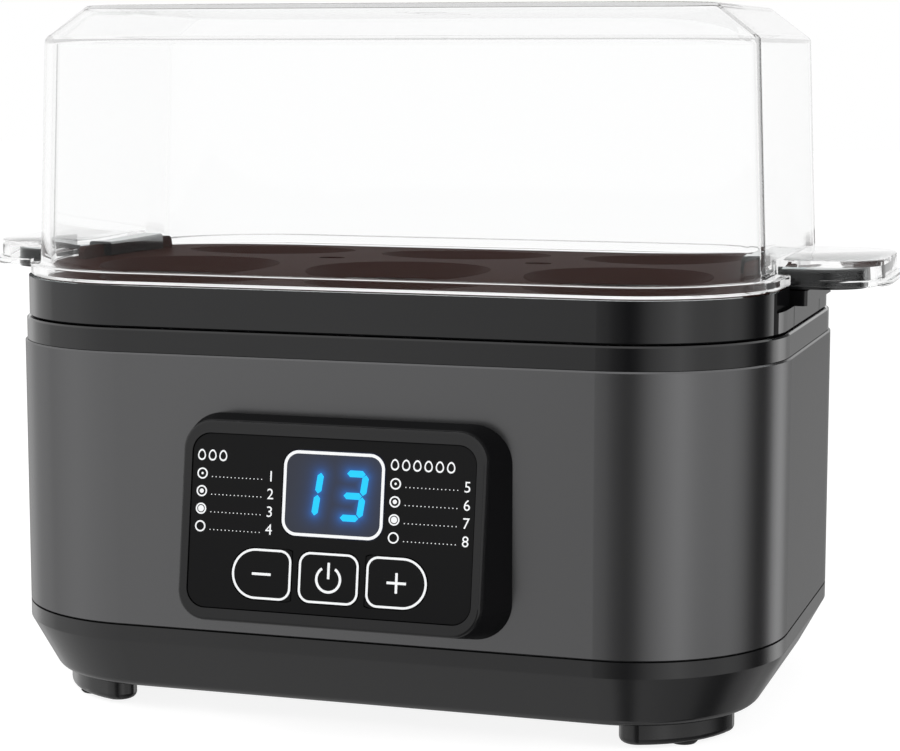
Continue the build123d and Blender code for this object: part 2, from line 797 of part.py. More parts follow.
def make_element_terminals():
    ends = []
    for y in (-element_bend, element_bend):
        plane = Plane(origin=(element_leg + 0.05, y, element_z()), z_dir=(1, 0, 0))
        cap = extrude(plane * Circle(element_radius - 0.6), amount=cap_length)
        start = element_leg + cap_length
        blade = block(start, start + blade_length, y - blade_width / 2, y + blade_width / 2,
                      element_z() - blade_thickness / 2, element_z() + blade_thickness / 2)
        ends.append(cap + blade)
    return ends


def make_element_clamps():
    """Two pressed straps that hold the heater up against the pan."""
    clamps = []
    for x in (-clamp_x, clamp_x):
        low = element_z() - element_radius - part_gap
        span = element_bend + clamp_overhang
        strap = block(x - clamp_width / 2, x + clamp_width / 2, -span, span, low - clamp_strap, low)
        for y in (-span, span - clamp_strap):
            strap += block(x - clamp_width / 2, x + clamp_width / 2, y, y + clamp_strap,
                           low - clamp_strap, pan_floor_low - part_gap)
        clamps.append(strap)
    return clamps


def make_heat_shield():
    """A folded tray that keeps the heat off the boards below, hung from the collar's ledge."""
    top = pan_floor_low - shield_drop + shield_lip
    low = top - shield_lip
    shield = rounded(shield_width, shield_depth, shield_corner, low, top)
    shield -= rounded(shield_width - 2 * shield_thickness, shield_depth - 2 * shield_thickness,
                      shield_corner - shield_thickness, low + shield_thickness, top + 1)
    for sx in (-1, 1):
        for y in (-shield_arm_y, shield_arm_y):
            half = shield_arm_width / 2
            ear_x = sx * (shield_width / 2 - 0.4)
            post_top = ledge_top - ledge_thickness - part_gap
            out_x = sx * (pan_width / 2 + shield_foot)
            foot_x = out_x + sx * shield_foot
            arm = block(min(ear_x, out_x), max(ear_x, out_x), y - half, y + half, top - shield_thickness, top)
            upright = block(min(out_x, out_x - sx), max(out_x, out_x - sx), y - half, y + half,
                            top - shield_thickness, post_top)
            foot = block(min(out_x, foot_x), max(out_x, foot_x), y - half, y + half,
                         post_top - shield_thickness, post_top)
            shield += arm + upright + foot
    return shield


def make_thermostat():
    top = pan_floor_low - part_gap
    disc = rod(0, 0, thermostat_radius, top - thermostat_height, top)
    disc += rod(0, 0, thermostat_radius + 1.5, top - thermostat_height, top - thermostat_height + 1.4)
    for sx in (-1, 1):
        x = sx * thermostat_radius / 2
        low = top - thermostat_height
        disc += block(x - blade_thickness / 2, x + blade_thickness / 2, -blade_width / 2, blade_width / 2,
                      low - cap_length, low + blade_thickness)
    return disc


def make_thermal_fuse():
    z = pan_floor_low - part_gap - fuse_radius
    body = Pos(fuse_x, 0, z) * Rot(90, 0, 0) * Cylinder(fuse_radius, fuse_length)
    wire = Pos(fuse_x, 0, z) * Rot(90, 0, 0) * Cylinder(fuse_wire_radius, fuse_length + 2 * fuse_wire_length)
    return body + wire


def make_temperature_sensor():
    top = pan_floor_low - part_gap
    probe = rod(sensor_x, 0, sensor_radius, top - sensor_length, top)
    probe += rod(sensor_x, 0, sensor_radius + 1.2, top - sensor_length, top - sensor_length + 1.5)
    return fillet(probe.edges().group_by(Axis.Z)[-1], 0.8)


# Power supply
def supply_top():
    return floor_top + post_height + board_thickness


def make_power_board():
    board = block(-supply_width / 2, supply_width / 2, supply_y - supply_depth / 2, supply_y + supply_depth / 2,
                  floor_top + post_height, supply_top())
    for x, y in post_places():
        board -= rod(x, y + supply_y, screw_radius + fit_gap, 0, cut_run)
    return board


def on_supply(place, size):
    x, y = place
    piece = Pos(x, supply_y + y, supply_top() + size[2] / 2) * Box(*size)
    return fillet(piece.edges().filter_by(Axis.Z), 0.8)


def make_board_screws():
    screws = []
    for x, y in post_places():
        top = supply_top()
        screw = rod(x, y + supply_y, board_head_radius, top, top + board_head_height)
        screw += rod(x, y + supply_y, screw_radius - fit_gap - 0.02, top - board_screw_length, top + 0.1)
        screws.append(screw)
    return screws


def make_all():
    save("base_cover", make_base_cover())
    save("foot_pads", *make_foot_pads())
    save("base_screws", *make_base_screws())
    save("cable_gland", make_cable_gland())
    save("body_shell", make_body_shell())
    save("lower_collar", make_lower_collar())
    save("pan_gasket", make_pan_gasket())
    save("heating_plate", make_heating_plate())
    save("rim_ring", make_rim_ring())
    save("egg_rack", make_egg_rack())
    save("rack_handle_right", make_rack_handle(1))
    save("rack_handle_left", make_rack_handle(-1))
    save("lid", make_lid())
    save("panel_bezel", make_panel_bezel())
    save("panel_glass", make_panel_glass())
    save("display_window", make_display_window())
    save("display_module", make_display_module())
    save("control_board", make_control_board())
    save("key_switches", *make_key_switches())
    save("buzzer", make_buzzer())
    save("panel_clamp", make_panel_clamp())
    for name, which in (("key_minus", -1), ("key_power", 0), ("key_plus", 1)):
        save(name, make_key(which))
    save("heating_element", make_heating_element())
    save("element_terminals", *make_element_terminals())
    save("element_clamps", *make_element_clamps())
    save("heat_shield", make_heat_shield())
    save("thermostat", make_thermostat())
    save("thermal_fuse", make_thermal_fuse())
    save("temperature_sensor", make_temperature_sensor())
    save("power_board", make_power_board())
    save("power_relay", on_supply(relay_place, relay_size))
    save("board_transformer", on_supply(transformer_place, transformer_size))
    save("filter_capacitor", on_supply(capacitor_place, capacitor_size))
    save("terminal_block", on_supply(terminal_place, terminal_size))
    save("board_screws", *make_board_screws())


os.makedirs("parts", exist_ok=True)
make_all()
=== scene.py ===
import json
import math

import bmesh
import bpy
from mathutils import Matrix, Vector

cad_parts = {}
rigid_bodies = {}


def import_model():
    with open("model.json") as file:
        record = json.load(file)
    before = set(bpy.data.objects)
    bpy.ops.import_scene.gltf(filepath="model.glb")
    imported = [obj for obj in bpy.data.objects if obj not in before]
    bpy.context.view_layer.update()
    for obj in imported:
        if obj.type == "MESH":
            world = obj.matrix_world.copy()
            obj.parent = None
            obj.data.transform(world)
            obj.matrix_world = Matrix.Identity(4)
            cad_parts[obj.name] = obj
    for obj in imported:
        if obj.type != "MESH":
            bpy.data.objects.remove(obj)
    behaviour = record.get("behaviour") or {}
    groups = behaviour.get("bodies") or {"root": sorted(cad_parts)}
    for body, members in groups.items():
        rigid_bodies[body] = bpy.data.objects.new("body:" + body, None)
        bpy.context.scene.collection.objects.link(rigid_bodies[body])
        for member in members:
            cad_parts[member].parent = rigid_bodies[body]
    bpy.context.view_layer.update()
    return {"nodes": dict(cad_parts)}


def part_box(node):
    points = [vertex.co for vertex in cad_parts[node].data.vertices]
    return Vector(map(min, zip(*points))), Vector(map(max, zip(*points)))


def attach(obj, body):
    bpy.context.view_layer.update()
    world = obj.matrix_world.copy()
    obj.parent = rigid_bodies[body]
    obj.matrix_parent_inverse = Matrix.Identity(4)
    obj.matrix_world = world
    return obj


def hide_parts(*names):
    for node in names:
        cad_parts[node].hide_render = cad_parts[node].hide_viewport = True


# Blender starts with a cube, a lamp and a camera of its own
for leftover in list(bpy.data.objects):
    bpy.data.objects.remove(leftover)
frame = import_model()

bl_info = {
    "name": "Egg cooker",
    "version": (1, 0, 0),
    "blender": (4, 5, 0),
    "location": "View3D > Sidebar > Egg cooker",
    "description": "Dresses the egg cooker's solids with finishes, a clear lid, printed marks and a soft studio",
    "category": "Object",
}

# Places that come from the frame, in metres
mm = 0.001
shell_low, shell_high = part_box("body_shell")
lid_low, lid_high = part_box("lid")
middle_y = (shell_low.y + shell_high.y) / 2
body_half_x = shell_high.x
body_half_y = (shell_high.y - shell_low.y) / 2
body_corner = 33.5 * mm


# Sizes and colours that a user may change
def length(name, description, default, low=0.0):
    return bpy.props.FloatProperty(name=name, description=description, default=default, min=low,
                                   unit="LENGTH", precision=5)


def turn(name, description, degrees):
    return bpy.props.FloatProperty(name=name, description=description, default=math.radians(degrees),
                                   unit="ROTATION")


def share(name, description, default):
    return bpy.props.FloatProperty(name=name, description=description, default=default, min=0.0, max=1.0,
                                   subtype="FACTOR")


def watts(name, description, default):
    return bpy.props.FloatProperty(name=name, description=description, default=default, min=0.0, unit="POWER")


def tint(name, description, default):
    return bpy.props.FloatVectorProperty(name=name, description=description, default=default, size=3,
                                         min=0.0, max=1.0, subtype="COLOR")


class LidSizes(bpy.types.PropertyGroup):
    """Sizes of the clear lid and its two grips."""

    half_width: length("Half width", "From the middle to the flat end wall, at its foot", body_half_x - 4.4 * mm)
    half_depth: length("Half depth", "From the middle to the front wall, at its foot", body_half_y - 3.85 * mm)
    corner: length("Corner radius", "Radius of the upright corners at the foot of the wall", 30.0 * mm)
    facet: length("Flat cut", "How much of the rounded corner the flat end wall cuts off", 1.0 * mm)
    draft: turn("Draft", "Lean of the walls", 2.3)
    wall: length("Wall", "Thickness of the clear plastic", 1.8 * mm)
    roof_rise: length("Roof rise", "Height of the sloping band around the top", 7.05 * mm)
    roof_run: length("Roof run", "Width of the sloping band around the top", 9.3 * mm)
    flange_height: length("Flange height", "Height of the foot flange", 2.3 * mm)
    flange_inset: length("Flange inset", "From the body's side to the flange's side", 1.55 * mm)
    grip_half: length("Grip half width", "Half the width of a grip", 19.5 * mm)
    grip_reach: length("Grip reach", "From the middle to the end of a grip", 102.2 * mm)
    grip_corner: length("Grip corner", "Outer corner radius of a grip", 10.5 * mm)
    grip_wall: length("Grip wall", "Thickness of a grip's skirt and top", 1.6 * mm)
    grip_lip: length("Grip lip", "How far the lip around a grip stands out", 1.6 * mm)
    grip_lip_height: length("Grip lip height", "Height of the lip around a grip", 1.4 * mm)
    grip_height: length("Grip height", "Height of the space under a grip's top", 3.85 * mm)
    slot_pitch: length("Slot pitch", "Distance between the steam slots in the top", 9.0 * mm)
    slot_length: length("Slot length", "Length of a steam slot", 12.0 * mm)
    slot_width: length("Slot width", "Width of a steam slot", 3.0 * mm)


class PanelSizes(bpy.types.PropertyGroup):
    """Sizes of the control panel's plane and of what is printed on it."""

    middle_drop: length("Panel reach", "From the body's front to the middle of the panel's face", 10.75 * mm)
    middle_z: length("Panel height", "Height of the middle of the panel's face", 46.65 * mm)
    tilt: turn("Tilt", "Lean of the panel's face towards the back", 8.5)
    sunk: length("Plate depth", "How deep the glass plate lies in its frame", 0.3 * mm)
    print_width: length("Border width", "Width of the white border around the window", 0.62 * mm)
    key_line: length("Key line", "Width of the white outlines on the keys", 0.46 * mm)
    mark_line: length("Mark line", "Width of the strokes of the marks on the keys", 0.52 * mm)
    print_height: length("Ink height", "Thickness of the ink", 0.03 * mm)
    window_width: length("Window width", "Width of the display window", 21.7 * mm)
    window_height: length("Window height", "Height of the display window", 17.4 * mm)
    window_side: length("Window side", "Middle of the window to the right of the panel's middle", 0.45 * mm, -1.0)
    window_middle: length("Window middle", "Middle of the window above the panel's middle", 6.55 * mm, -1.0)
    window_corner: length("Window corner", "Corner radius of the window", 3.2 * mm)
    key_width: length("Key width", "Width of a key", 13.0 * mm)
    key_height: length("Key height", "Height of a key", 10.45 * mm)
    key_pitch: length("Key pitch", "Distance between the keys' middles", 14.45 * mm)
    key_side: length("Key side", "Middle of the keys to the right of the panel's middle", 0.2 * mm, -1.0)
    key_middle: length("Key middle", "Middle of the keys above the panel's middle", -10.3 * mm, -1.0)
    key_corner: length("Key corner", "Corner radius of the keys", 2.6 * mm)
    digit_height: length("Digit height", "Height of the lit figures", 10.45 * mm)
    digit_width: length("Digit width", "Width of the lit figures", 5.7 * mm)
    digit_slant: turn("Digit slant", "Lean of the lit figures", 7.5)
    digit_stroke: length("Digit stroke", "Width of a lit bar", 1.5 * mm)
    oval_up: length("Ovals", "Middle of the ovals above the panel's middle", 13.3 * mm, -1.0)
    row_up: length("First row", "Middle of the first row above the panel's middle", 9.5 * mm, -1.0)
    row_pitch: length("Row pitch", "Distance between the rows of marks", 3.6 * mm)
    left_column: length("Left column", "Start of the left column from the panel's middle", -29.3 * mm, -1.0)
    right_column: length("Right column", "Start of the right column from the panel's middle", 12.4 * mm, -1.0)
    column_width: length("Column width", "From a column's start to the end of its numbers", 17.0 * mm)
    figure_size: length("Figure size", "Type size of the printed numbers", 3.1 * mm)


class Finishes(bpy.types.PropertyGroup):
    """Colours of the finishes, and how polished they are."""

    housing: tint("Housing grey", "Metallic paint of the middle band", (0.115, 0.115, 0.117))
    black: tint("Black plastic", "Rings and control panel", (0.0055, 0.0055, 0.006))
    base: tint("Base black", "Base cover", (0.008, 0.008, 0.0085))
    smoke: tint("Smoked brown", "Egg rack", (0.032, 0.0105, 0.0075))
    steel: tint("Pan steel", "Water pan", (0.62, 0.62, 0.61))
    ink: tint("White ink", "Printed lines and numbers", (0.82, 0.83, 0.84))
    glow: tint("Display blue", "Lit figures", (0.0, 0.55, 1.0))
    housing_roughness: share("Housing roughness", "Roughness of the metallic paint", 0.2)
    black_roughness: share("Black roughness", "Roughness of the black plastic", 0.1)


class StageSettings(bpy.types.PropertyGroup):
    """The camera and how bright the studio is."""

    eye: bpy.props.FloatVectorProperty(name="Camera place", description="Where the camera stands", size=3,
                                       default=(0.16554, middle_y - 0.51582, 0.14109),
                                       subtype="XYZ", unit="LENGTH")
    pan: turn("Pan", "How far the camera looks to the left of straight back", 17.42)
    dip: turn("Dip", "How far the camera looks down", 7.62)
    lens: bpy.props.FloatProperty(name="Lens", description="Focal length for a 36 mm wide sensor, in mm",
                                  default=96.23, min=1.0)
    key_power: watts("Key lamp", "Power of the large lamp, in watts", 6.0)
    fill_power: watts("Fill lamp", "Power of the smaller lamp, in watts", 2.5)
    sky: bpy.props.FloatProperty(name="Sky", description="Strength of the even light from all sides",
                                 default=0.55, min=0.0)


class CookerSettings(bpy.types.PropertyGroup):
    """Everything that a user may change."""

    lid: bpy.props.PointerProperty(type=LidSizes, name="Lid", description="Sizes of the lid")
    panel: bpy.props.PointerProperty(type=PanelSizes, name="Panel", description="Sizes of the panel")
    finish: bpy.props.PointerProperty(type=Finishes, name="Finishes", description="Colours and polish")
    stage: bpy.props.PointerProperty(type=StageSettings, name="Stage", description="Camera and light")


# Shader maths
class Signal:
    """A value that a material works out, used in plain arithmetic."""

    def __init__(self, recipe, socket):
        self.recipe = recipe
        self.socket = socket

    def math(self, operation, *values):
        return self.recipe.node("ShaderNodeMath", {"operation": operation}, dict(enumerate(values)))

    def __add__(self, other):
        return self.math("ADD", self, other)

    def __radd__(self, other):
        return self.math("ADD", other, self)

    def __sub__(self, other):
        return self.math("SUBTRACT", self, other)

    def __rsub__(self, other):
        return self.math("SUBTRACT", other, self)

    def __mul__(self, other):
        return self.math("MULTIPLY", self, other)

    def __rmul__(self, other):
        return self.math("MULTIPLY", other, self)

    def __truediv__(self, other):
        return self.math("DIVIDE", self, other)

    def __rtruediv__(self, other):
        return self.math("DIVIDE", other, self)

    def __pow__(self, other):
        return self.math("POWER", self, other)

    def __rpow__(self, other):
        return self.math("POWER", other, self)

    def clamp(self, low=0.0, high=1.0):
        return self.math("MINIMUM", self.math("MAXIMUM", self, low), high)


class Recipe:
    """A node tree with one method that adds any node to it."""

    def __init__(self, tree):
        self.tree = tree

    def node(self, kind, settings, values, output=0):
        node = self.tree.nodes.new(kind)
        for name, value in settings.items():
            if name == "stops":
                self.set_stops(node.color_ramp, value)
            else:
                setattr(node, name, value)
        for name, value in values.items():
            self.feed(node.inputs[name], value)
        return Signal(self, None if output is None else node.outputs[output])

    def outputs(self, kind, values, *names):
        """The named outputs of one new node."""
        node = self.node(kind, {}, values).socket.node
        return [Signal(self, node.outputs[name]) for name in names]

    def axes(self, vector=None):
        """The x, y and z of a vector, or of the place on the piece."""
        return self.outputs("ShaderNodeSeparateXYZ", {"Vector": vector or self.place()}, "X", "Y", "Z")

    def matt(self, colour, roughness):
        """A dull surface of one colour."""
        return self.node("ShaderNodeBsdfDiffuse", {}, {"Color": (*colour, 1.0), "Roughness": roughness})

    def see_through(self, colour):
        """A surface that light passes straight through, and that tints it."""
        return self.node("ShaderNodeBsdfTransparent", {}, {"Color": (*colour, 1.0)})

    def set_stops(self, ramp, stops):
        while len(ramp.elements) < len(stops):
            ramp.elements.new(1.0)
        for element, (place, level) in zip(ramp.elements, stops):
            element.position = place
            element.color = (level, level, level, 1.0)

    def feed(self, socket, value):
        if isinstance(value, Signal):
            self.tree.links.new(value.socket, socket)
        else:
            socket.default_value = value

    def place(self):
        """The place on the piece, in metres."""
        return self.node("ShaderNodeTexCoord", {}, {}, "Object")

    def stretch(self, scale):
        """The place on the piece, stretched along each axis."""
        return self.node("ShaderNodeMapping", {"vector_type": "POINT"}, {"Vector": self.place(), "Scale": scale})

    def noise(self, scale, detail=2.0, vector=None):
        values = {"Vector": vector or self.place(), "Scale": scale, "Detail": detail}
        return self.node("ShaderNodeTexNoise", {"noise_dimensions": "3D"}, values, "Fac")

    def blend(self, share_of_second, first, second):
        """Mixes two colours."""
        colours = [(*colour, 1.0) if isinstance(colour, tuple) else colour for colour in (first, second)]
        factor_socket, first_socket, second_socket, colour_output = 0, 6, 7, 2
        values = {factor_socket: share_of_second, first_socket: colours[0], second_socket: colours[1]}
        return self.node("ShaderNodeMix", {"data_type": "RGBA"}, values, colour_output)


class Finish(Recipe):
    """One material, with its Principled shader ready to feed."""

    def __init__(self, name, **constants):
        self.material = bpy.data.materials.new(name)
        self.material.use_nodes = True
        super().__init__(self.material.node_tree)
        self.shader = self.tree.nodes["Principled BSDF"]
        for socket, value in constants.items():
            self.set(socket.replace("_", " ").title().replace("Ior", "IOR"), value)

    def set(self, socket, value):
        colour = isinstance(value, tuple) and len(value) == 3
        self.feed(self.shader.inputs[socket], (*value, 1.0) if colour else value)

    def mix_with(self, share_of_second, second):
        """Shows a second shader over what the material shows so far, by a share."""
        surface = self.tree.nodes["Material Output"].inputs["Surface"]
        first = Signal(self, surface.links[0].from_socket)
        self.feed(surface, self.node("ShaderNodeMixShader", {}, {"Fac": share_of_second, 1: first, 2: second}))

    def bump(self, height, distance):
        values = {"Height": height, "Distance": distance, "Strength": 1.0}
        self.set("Normal", self.node("ShaderNodeBump", {}, values, "Normal"))

    def shade(self, pattern, colour, dark, light):
        """The base colour, made darker or lighter by a pattern."""
        self.set("Base Color", self.blend(pattern, shaded(colour, dark), shaded(colour, light)))

    def polish(self, colour, dark, light, roughness, spread):
        """Slow changes of shade and gloss over the piece."""
        slow = self.noise(slow_scale, 3.0)
        self.shade(slow, colour, dark, light)
        self.set("Roughness", (roughness + spread * slow).clamp(0.02, 1.0))


# Finishes. Scales of patterns are in cells per metre.
slow_scale = 38.0
grain_scale = 2600.0
grain_depth = 0.0008 * mm


def shaded(colour, factor):
    return tuple(min(1.0, channel * factor) for channel in colour)


def moulded(name, colour, roughness, grain=grain_depth, **constants):
    """Moulded plastic: a very fine grain, slow changes of polish and faint flow marks."""
    finish = Finish(name, **constants)
    slow = finish.noise(slow_scale, 3.0)
    flow = finish.noise(9.0, 4.0, finish.stretch((1.0, 1.0, 3.5)))
    finish.shade(flow, colour, 0.88, 1.12)
    finish.set("Roughness", (roughness * (0.82 + 0.36 * slow)).clamp(0.02, 1.0))
    finish.bump(finish.noise(grain_scale, 2.0), grain)
    return finish.material


def ring_black_painted_pocket_shade(name, colour, roughness, pocket_x, ledge_half):
    """The black of the top ring, with painted shade in the pockets beside the ledges that carry the handles: a darker
    matt black there in place of their shadow.
    """
    finish = Finish(name)
    finish.polish(colour, 0.85, 1.15, roughness * 0.82, roughness * 0.36)
    finish.bump(finish.noise(grain_scale, 2.0), grain_depth)
    x, y, _ = finish.axes()
    side_x = x.math("ABSOLUTE", x)
    side_y = y.math("ABSOLUTE", y - middle_y)
    within = 0.3 * mm
    # Painted shade: the pockets' back walls and their ends are masked, and a darker matt black stands in for the
    # shadow in them
    back = x.math("COMPARE", side_x, pocket_x, within) * y.math("GREATER_THAN", side_y, ledge_half - 0.2 * mm)
    end = y.math("COMPARE", side_y, ledge_half, 0.25 * mm) * x.math("GREATER_THAN", side_x, pocket_x - within)
    finish.mix_with((back + end).clamp() * 0.92, finish.matt(shaded(colour, 0.8), 0.4))
    return finish.material


def handle_black(name, colour, top):
    """The handles' black, made darker than the other blacks as painted shade under the grips, with a hard polish on
    their top faces.
    """
    finish = Finish(name, coat_roughness=0.06)
    # Painted shade: the base colour runs at 0.45 to 0.7 of the black for the grips' roof over the handles
    finish.polish(colour, 0.45, 0.7, 0.12, 0.06)
    _, _, z = finish.axes()
    finish.set("Coat Weight", (0.1 + (z - (top - 0.3 * mm)) / (0.2 * mm)).clamp(0.1, 1.0))
    return finish.material


def framed_black(name, colour, panel):
    """The panel's frame: polished on its face, duller and darker down its sides."""
    finish = Finish(name, specular_ior_level=0.36)
    finish.polish(colour, 0.85, 1.15, 0.14, 0.06)
    _, y, z = finish.axes()
    face = panel_point(panel, 0, 0)
    depth = (y - face.y) * math.cos(panel.tilt) - (z - face.z) * math.sin(panel.tilt)
    side = ((depth - 0.3 * mm) / (1.2 * mm)).clamp()
    finish.mix_with(side * 0.84, finish.matt(shaded(colour, 0.9), 0.3))
    return finish.material


def painted_metallic(name, colour, roughness):
    """Metallic paint: fine flakes under a smooth coat."""
    finish = Finish(name, metallic=0.88)
    finish.set("Specular Tint", (0.7, 0.7, 0.7))
    places = {"Vector": finish.place(), "Scale": 5200.0}
    flakes = finish.node("ShaderNodeTexVoronoi", {"feature": "F1"}, places, "Distance")
    slow = finish.noise(24.0, 3.0)
    level = (0.9 + 0.12 * flakes + 0.08 * slow).clamp(0.0, 1.2) - 0.5
    finish.shade((2.0 * level).clamp(), colour, 0.82, 1.08)
    finish.set("Roughness", (roughness * (0.85 + 0.3 * slow)).clamp(0.03, 1.0))
    finish.bump(finish.noise(1900.0, 2.0), 0.0006 * mm)
    return finish.material


def brushed_steel(name, colour, roughness, along=(60.0, 2400.0, 2400.0)):
    """Drawn steel: long fine scratches along one axis."""
    finish = Finish(name, metallic=1.0)
    scratches = finish.noise(1.0, 4.0, finish.stretch(along))
    stains = finish.noise(45.0, 3.0)
    finish.shade(scratches, colour, 0.8, 1.1)
    finish.set("Roughness", (roughness + 0.16 * scratches + 0.08 * stains).clamp(0.05, 1.0))
    finish.bump(scratches, 0.0012 * mm)
    return finish.material


def rubber(name, colour):
    """Matt rubber with a fine open grain."""
    finish = Finish(name, specular_ior_level=0.3)
    grain = finish.noise(1500.0, 3.0)
    dust = finish.noise(70.0, 4.0)
    finish.shade(dust, colour, 0.8, 1.9)
    finish.set("Roughness", (0.62 + 0.3 * grain).clamp())
    finish.bump(grain, 0.02 * mm)
    return finish.material


def laminate(name, colour):
    """A circuit board: lacquer over copper tracks that run in a square pattern."""
    finish = Finish(name, coat_weight=0.4, coat_roughness=0.2)
    pattern = {"Vector": finish.place(), "Scale": 190.0, "Mortar Size": 0.04, "Brick Width": 1.7, "Row Height": 0.45}
    tracks = finish.node("ShaderNodeTexBrick", {"offset": 0.35, "squash": 1.0}, pattern, "Fac")
    weave = finish.noise(900.0, 2.0)
    finish.shade(tracks, colour, 1.0, 2.1)
    finish.set("Roughness", (0.32 + 0.2 * weave).clamp())
    finish.bump(tracks, 0.03 * mm)
    return finish.material


def smoked(name, colour):
    """Dark see-through brown plastic, with a painted reddish highlight where it is seen at a low angle, and a polish
    that shows faintly at a low angle.
    """
    finish = Finish(name, ior=1.5, transmission_weight=0.1)
    # Painted highlight: the colour turns redder where the surface faces away, by the Layer Weight's facing
    rim = finish.node("ShaderNodeLayerWeight", {}, {"Blend": 0.35}, "Facing")
    cloud = finish.noise(60.0, 3.0)
    base = finish.blend(cloud, shaded(colour, 0.75), shaded(colour, 1.25))
    finish.set("Base Color", finish.blend((rim ** 3.0) * 0.5, base, (0.11, 0.032, 0.022)))
    finish.set("Roughness", (0.13 + 0.08 * cloud).clamp())
    finish.mix_with(0.92, finish.matt(colour, 0.2))
    return finish.material


def clear_plastic(name, grip_start, grip_top):
    """Water-clear plastic with painted grey shade along its creases and where it is seen at a low angle, and shiny
    grip tops, which casts a light shadow.
    """
    finish = Finish(name, ior=1.46, transmission_weight=1.0, roughness=0.0, coat_roughness=0.0)
    finish.set("Specular Tint", (0.2, 0.2, 0.2))
    edge = finish.node("ShaderNodeAttribute", {"attribute_name": "edge", "attribute_type": "GEOMETRY"}, {}, "Fac")
    facing = finish.node("ShaderNodeLayerWeight", {}, {"Blend": 0.5}, "Facing")
    streaks = finish.noise(160.0, 3.0, finish.stretch((1.0, 1.0, 0.25)))
    # Painted shade: grey along the creases, from the edge attribute, and grey where the surface is seen at a low
    # angle
    grey = (edge * (0.75 + 0.4 * streaks) + (facing ** 10.0) * 0.28).clamp()
    finish.set("Base Color", finish.blend(grey, (0.995, 0.997, 0.997), (0.03, 0.031, 0.032)))
    x, _, z = finish.axes()
    beyond_wall = x.math("GREATER_THAN", x.math("ABSOLUTE", x), grip_start)
    finish.set("Coat Weight", z.math("COMPARE", z, grip_top, 0.3 * mm) * beyond_wall)
    # Painted shade: on the strongest creases a grey see-through layer darkens what shows behind them too
    finish.mix_with((1.3 * edge - 0.3).clamp(), finish.see_through((0.2, 0.2, 0.2)))
    shadow, depth, dull, shiny, sharp = finish.outputs(
        "ShaderNodeLightPath", {}, "Is Shadow Ray", "Ray Depth", "Is Diffuse Ray", "Is Glossy Ray", "Is Singular Ray")
    # Light that is caught inside the wall leaves it again before its bounces run out
    most_bounces = 4.5
    caught = depth.math("GREATER_THAN", depth, most_bounces)
    finish.mix_with(caught, finish.see_through((0.88, 0.88, 0.88)))
    # Shadows, soft light and the body's own reflections pass straight through
    straight = (shadow + dull + shiny * (1.0 - sharp)).clamp()
    finish.mix_with(straight, finish.see_through((0.93, 0.94, 0.94)))
    return finish.material


def ink(name, colour):
    """Screen-printed ink with a slightly uneven coat, which also glows faintly as painted light."""
    finish = Finish(name, emission_strength=0.12)
    coat = finish.noise(1400.0, 2.0)
    finish.shade(coat, colour, 0.94, 1.04)
    finish.set("Roughness", (0.4 + 0.2 * coat).clamp())
    # Painted light: the ink glows faintly in its own colour, though it gives no light
    finish.set("Emission Color", colour)
    return finish.material


def dress(material, *names):
    """Gives CAD nodes a material."""
    for name in names:
        node = frame["nodes"][name]
        node.data.materials.clear()
        node.data.materials.append(material)


# Mesh helpers
def add_object(name, mesh, material=None):
    piece = bpy.data.objects.new(name, mesh)
    bpy.context.scene.collection.objects.link(piece)
    if material:
        piece.data.materials.append(material)
    return piece


def mesh_from(name, build):
    """A mesh made by a function that fills a bmesh."""
    bm = bmesh.new()
    build(bm)
    mesh = bpy.data.meshes.new(name)
    bm.to_mesh(mesh)
    bm.free()
    return mesh


def plain_mesh(piece, name):
    """The piece with its modifiers worked in, as a plain mesh."""
    shown = piece.evaluated_get(bpy.context.evaluated_depsgraph_get())
    mesh = bpy.data.meshes.new_from_object(shown)
    mesh.name = name
    return mesh


def smooth_by_angle(mesh, degrees):
    for face in mesh.polygons:
        face.use_smooth = True
    mesh.set_sharp_from_angle(angle=math.radians(degrees))


def band(bm, low, high):
    """Faces between two rings of as many points."""
    for i in range(len(low)):
        j = (i + 1) % len(low)
        bm.faces.new((low[i], low[j], high[j], high[i]))


def skin(bm, rings):
    """A closed solid through rings of as many points, from the lowest up."""
    rows = [[bm.verts.new(point) for point in ring] for ring in rings]
    for low, high in zip(rows, rows[1:]):
        band(bm, low, high)
    bm.faces.new(reversed(rows[0]))
    bm.faces.new(rows[-1])


def around(middle_x, middle_y, radius, angle):
    """A point on a circle."""
    return middle_x + radius * math.cos(angle), middle_y + radius * math.sin(angle)


def quarter_arc(middle_x, middle_y, radius, first, steps):
    """The points of a quarter circle, anticlockwise from its first angle in degrees."""
    return [around(middle_x, middle_y, radius, math.radians(first + 90 * i / steps)) for i in range(steps + 1)]


def rounded_outline(half_x, half_y, right, steps=12, left=None):
    """The points of a rectangle around the origin, with its right and left corners rounded, anticlockwise."""
    left = right if left is None else left
    points = []
    for first, corner, sx, sy in ((-90, right, 1, -1), (0, right, 1, 1), (90, left, -1, 1), (180, left, -1, -1)):
        points += quarter_arc(sx * (half_x - corner), sy * (half_y - corner), corner, first, steps)
    return points


def shifted(outline, across, up):
    return [(across + x, up + y) for x, y in outline]


def combine(name, target, other, operation):
    """The exact union or difference of two closed meshes."""
    piece = add_object(name, target)
    tool = add_object(name + "_tool", other)
    change = piece.modifiers.new("combine", "BOOLEAN")
    change.operation = operation
    change.solver = "EXACT"
    change.object = tool
    result = plain_mesh(piece, name)
    bpy.data.objects.remove(piece)
    bpy.data.objects.remove(tool)
    return result


# Clear lid
def wall_break(sizes):
    """The height at which the wall turns into the sloping roof band."""
    return lid_high.z - sizes.roof_rise


def wall_lean(sizes, z):
    """How far the wall has leaned in at a height."""
    return math.tan(sizes.draft) * max(0.0, min(z, wall_break(sizes)) - lid_low.z)


def wall_corner(sizes, inset):
    """The flat end's x, and the round corner's middle, radius and first angle, drawn in by inset."""
    cut = sizes.half_width - inset
    corner = sizes.corner - inset
    centre_x = cut + sizes.facet - corner
    centre_y = sizes.half_depth - inset - corner
    return cut, centre_x, centre_y, corner, math.acos((cut - centre_x) / corner)


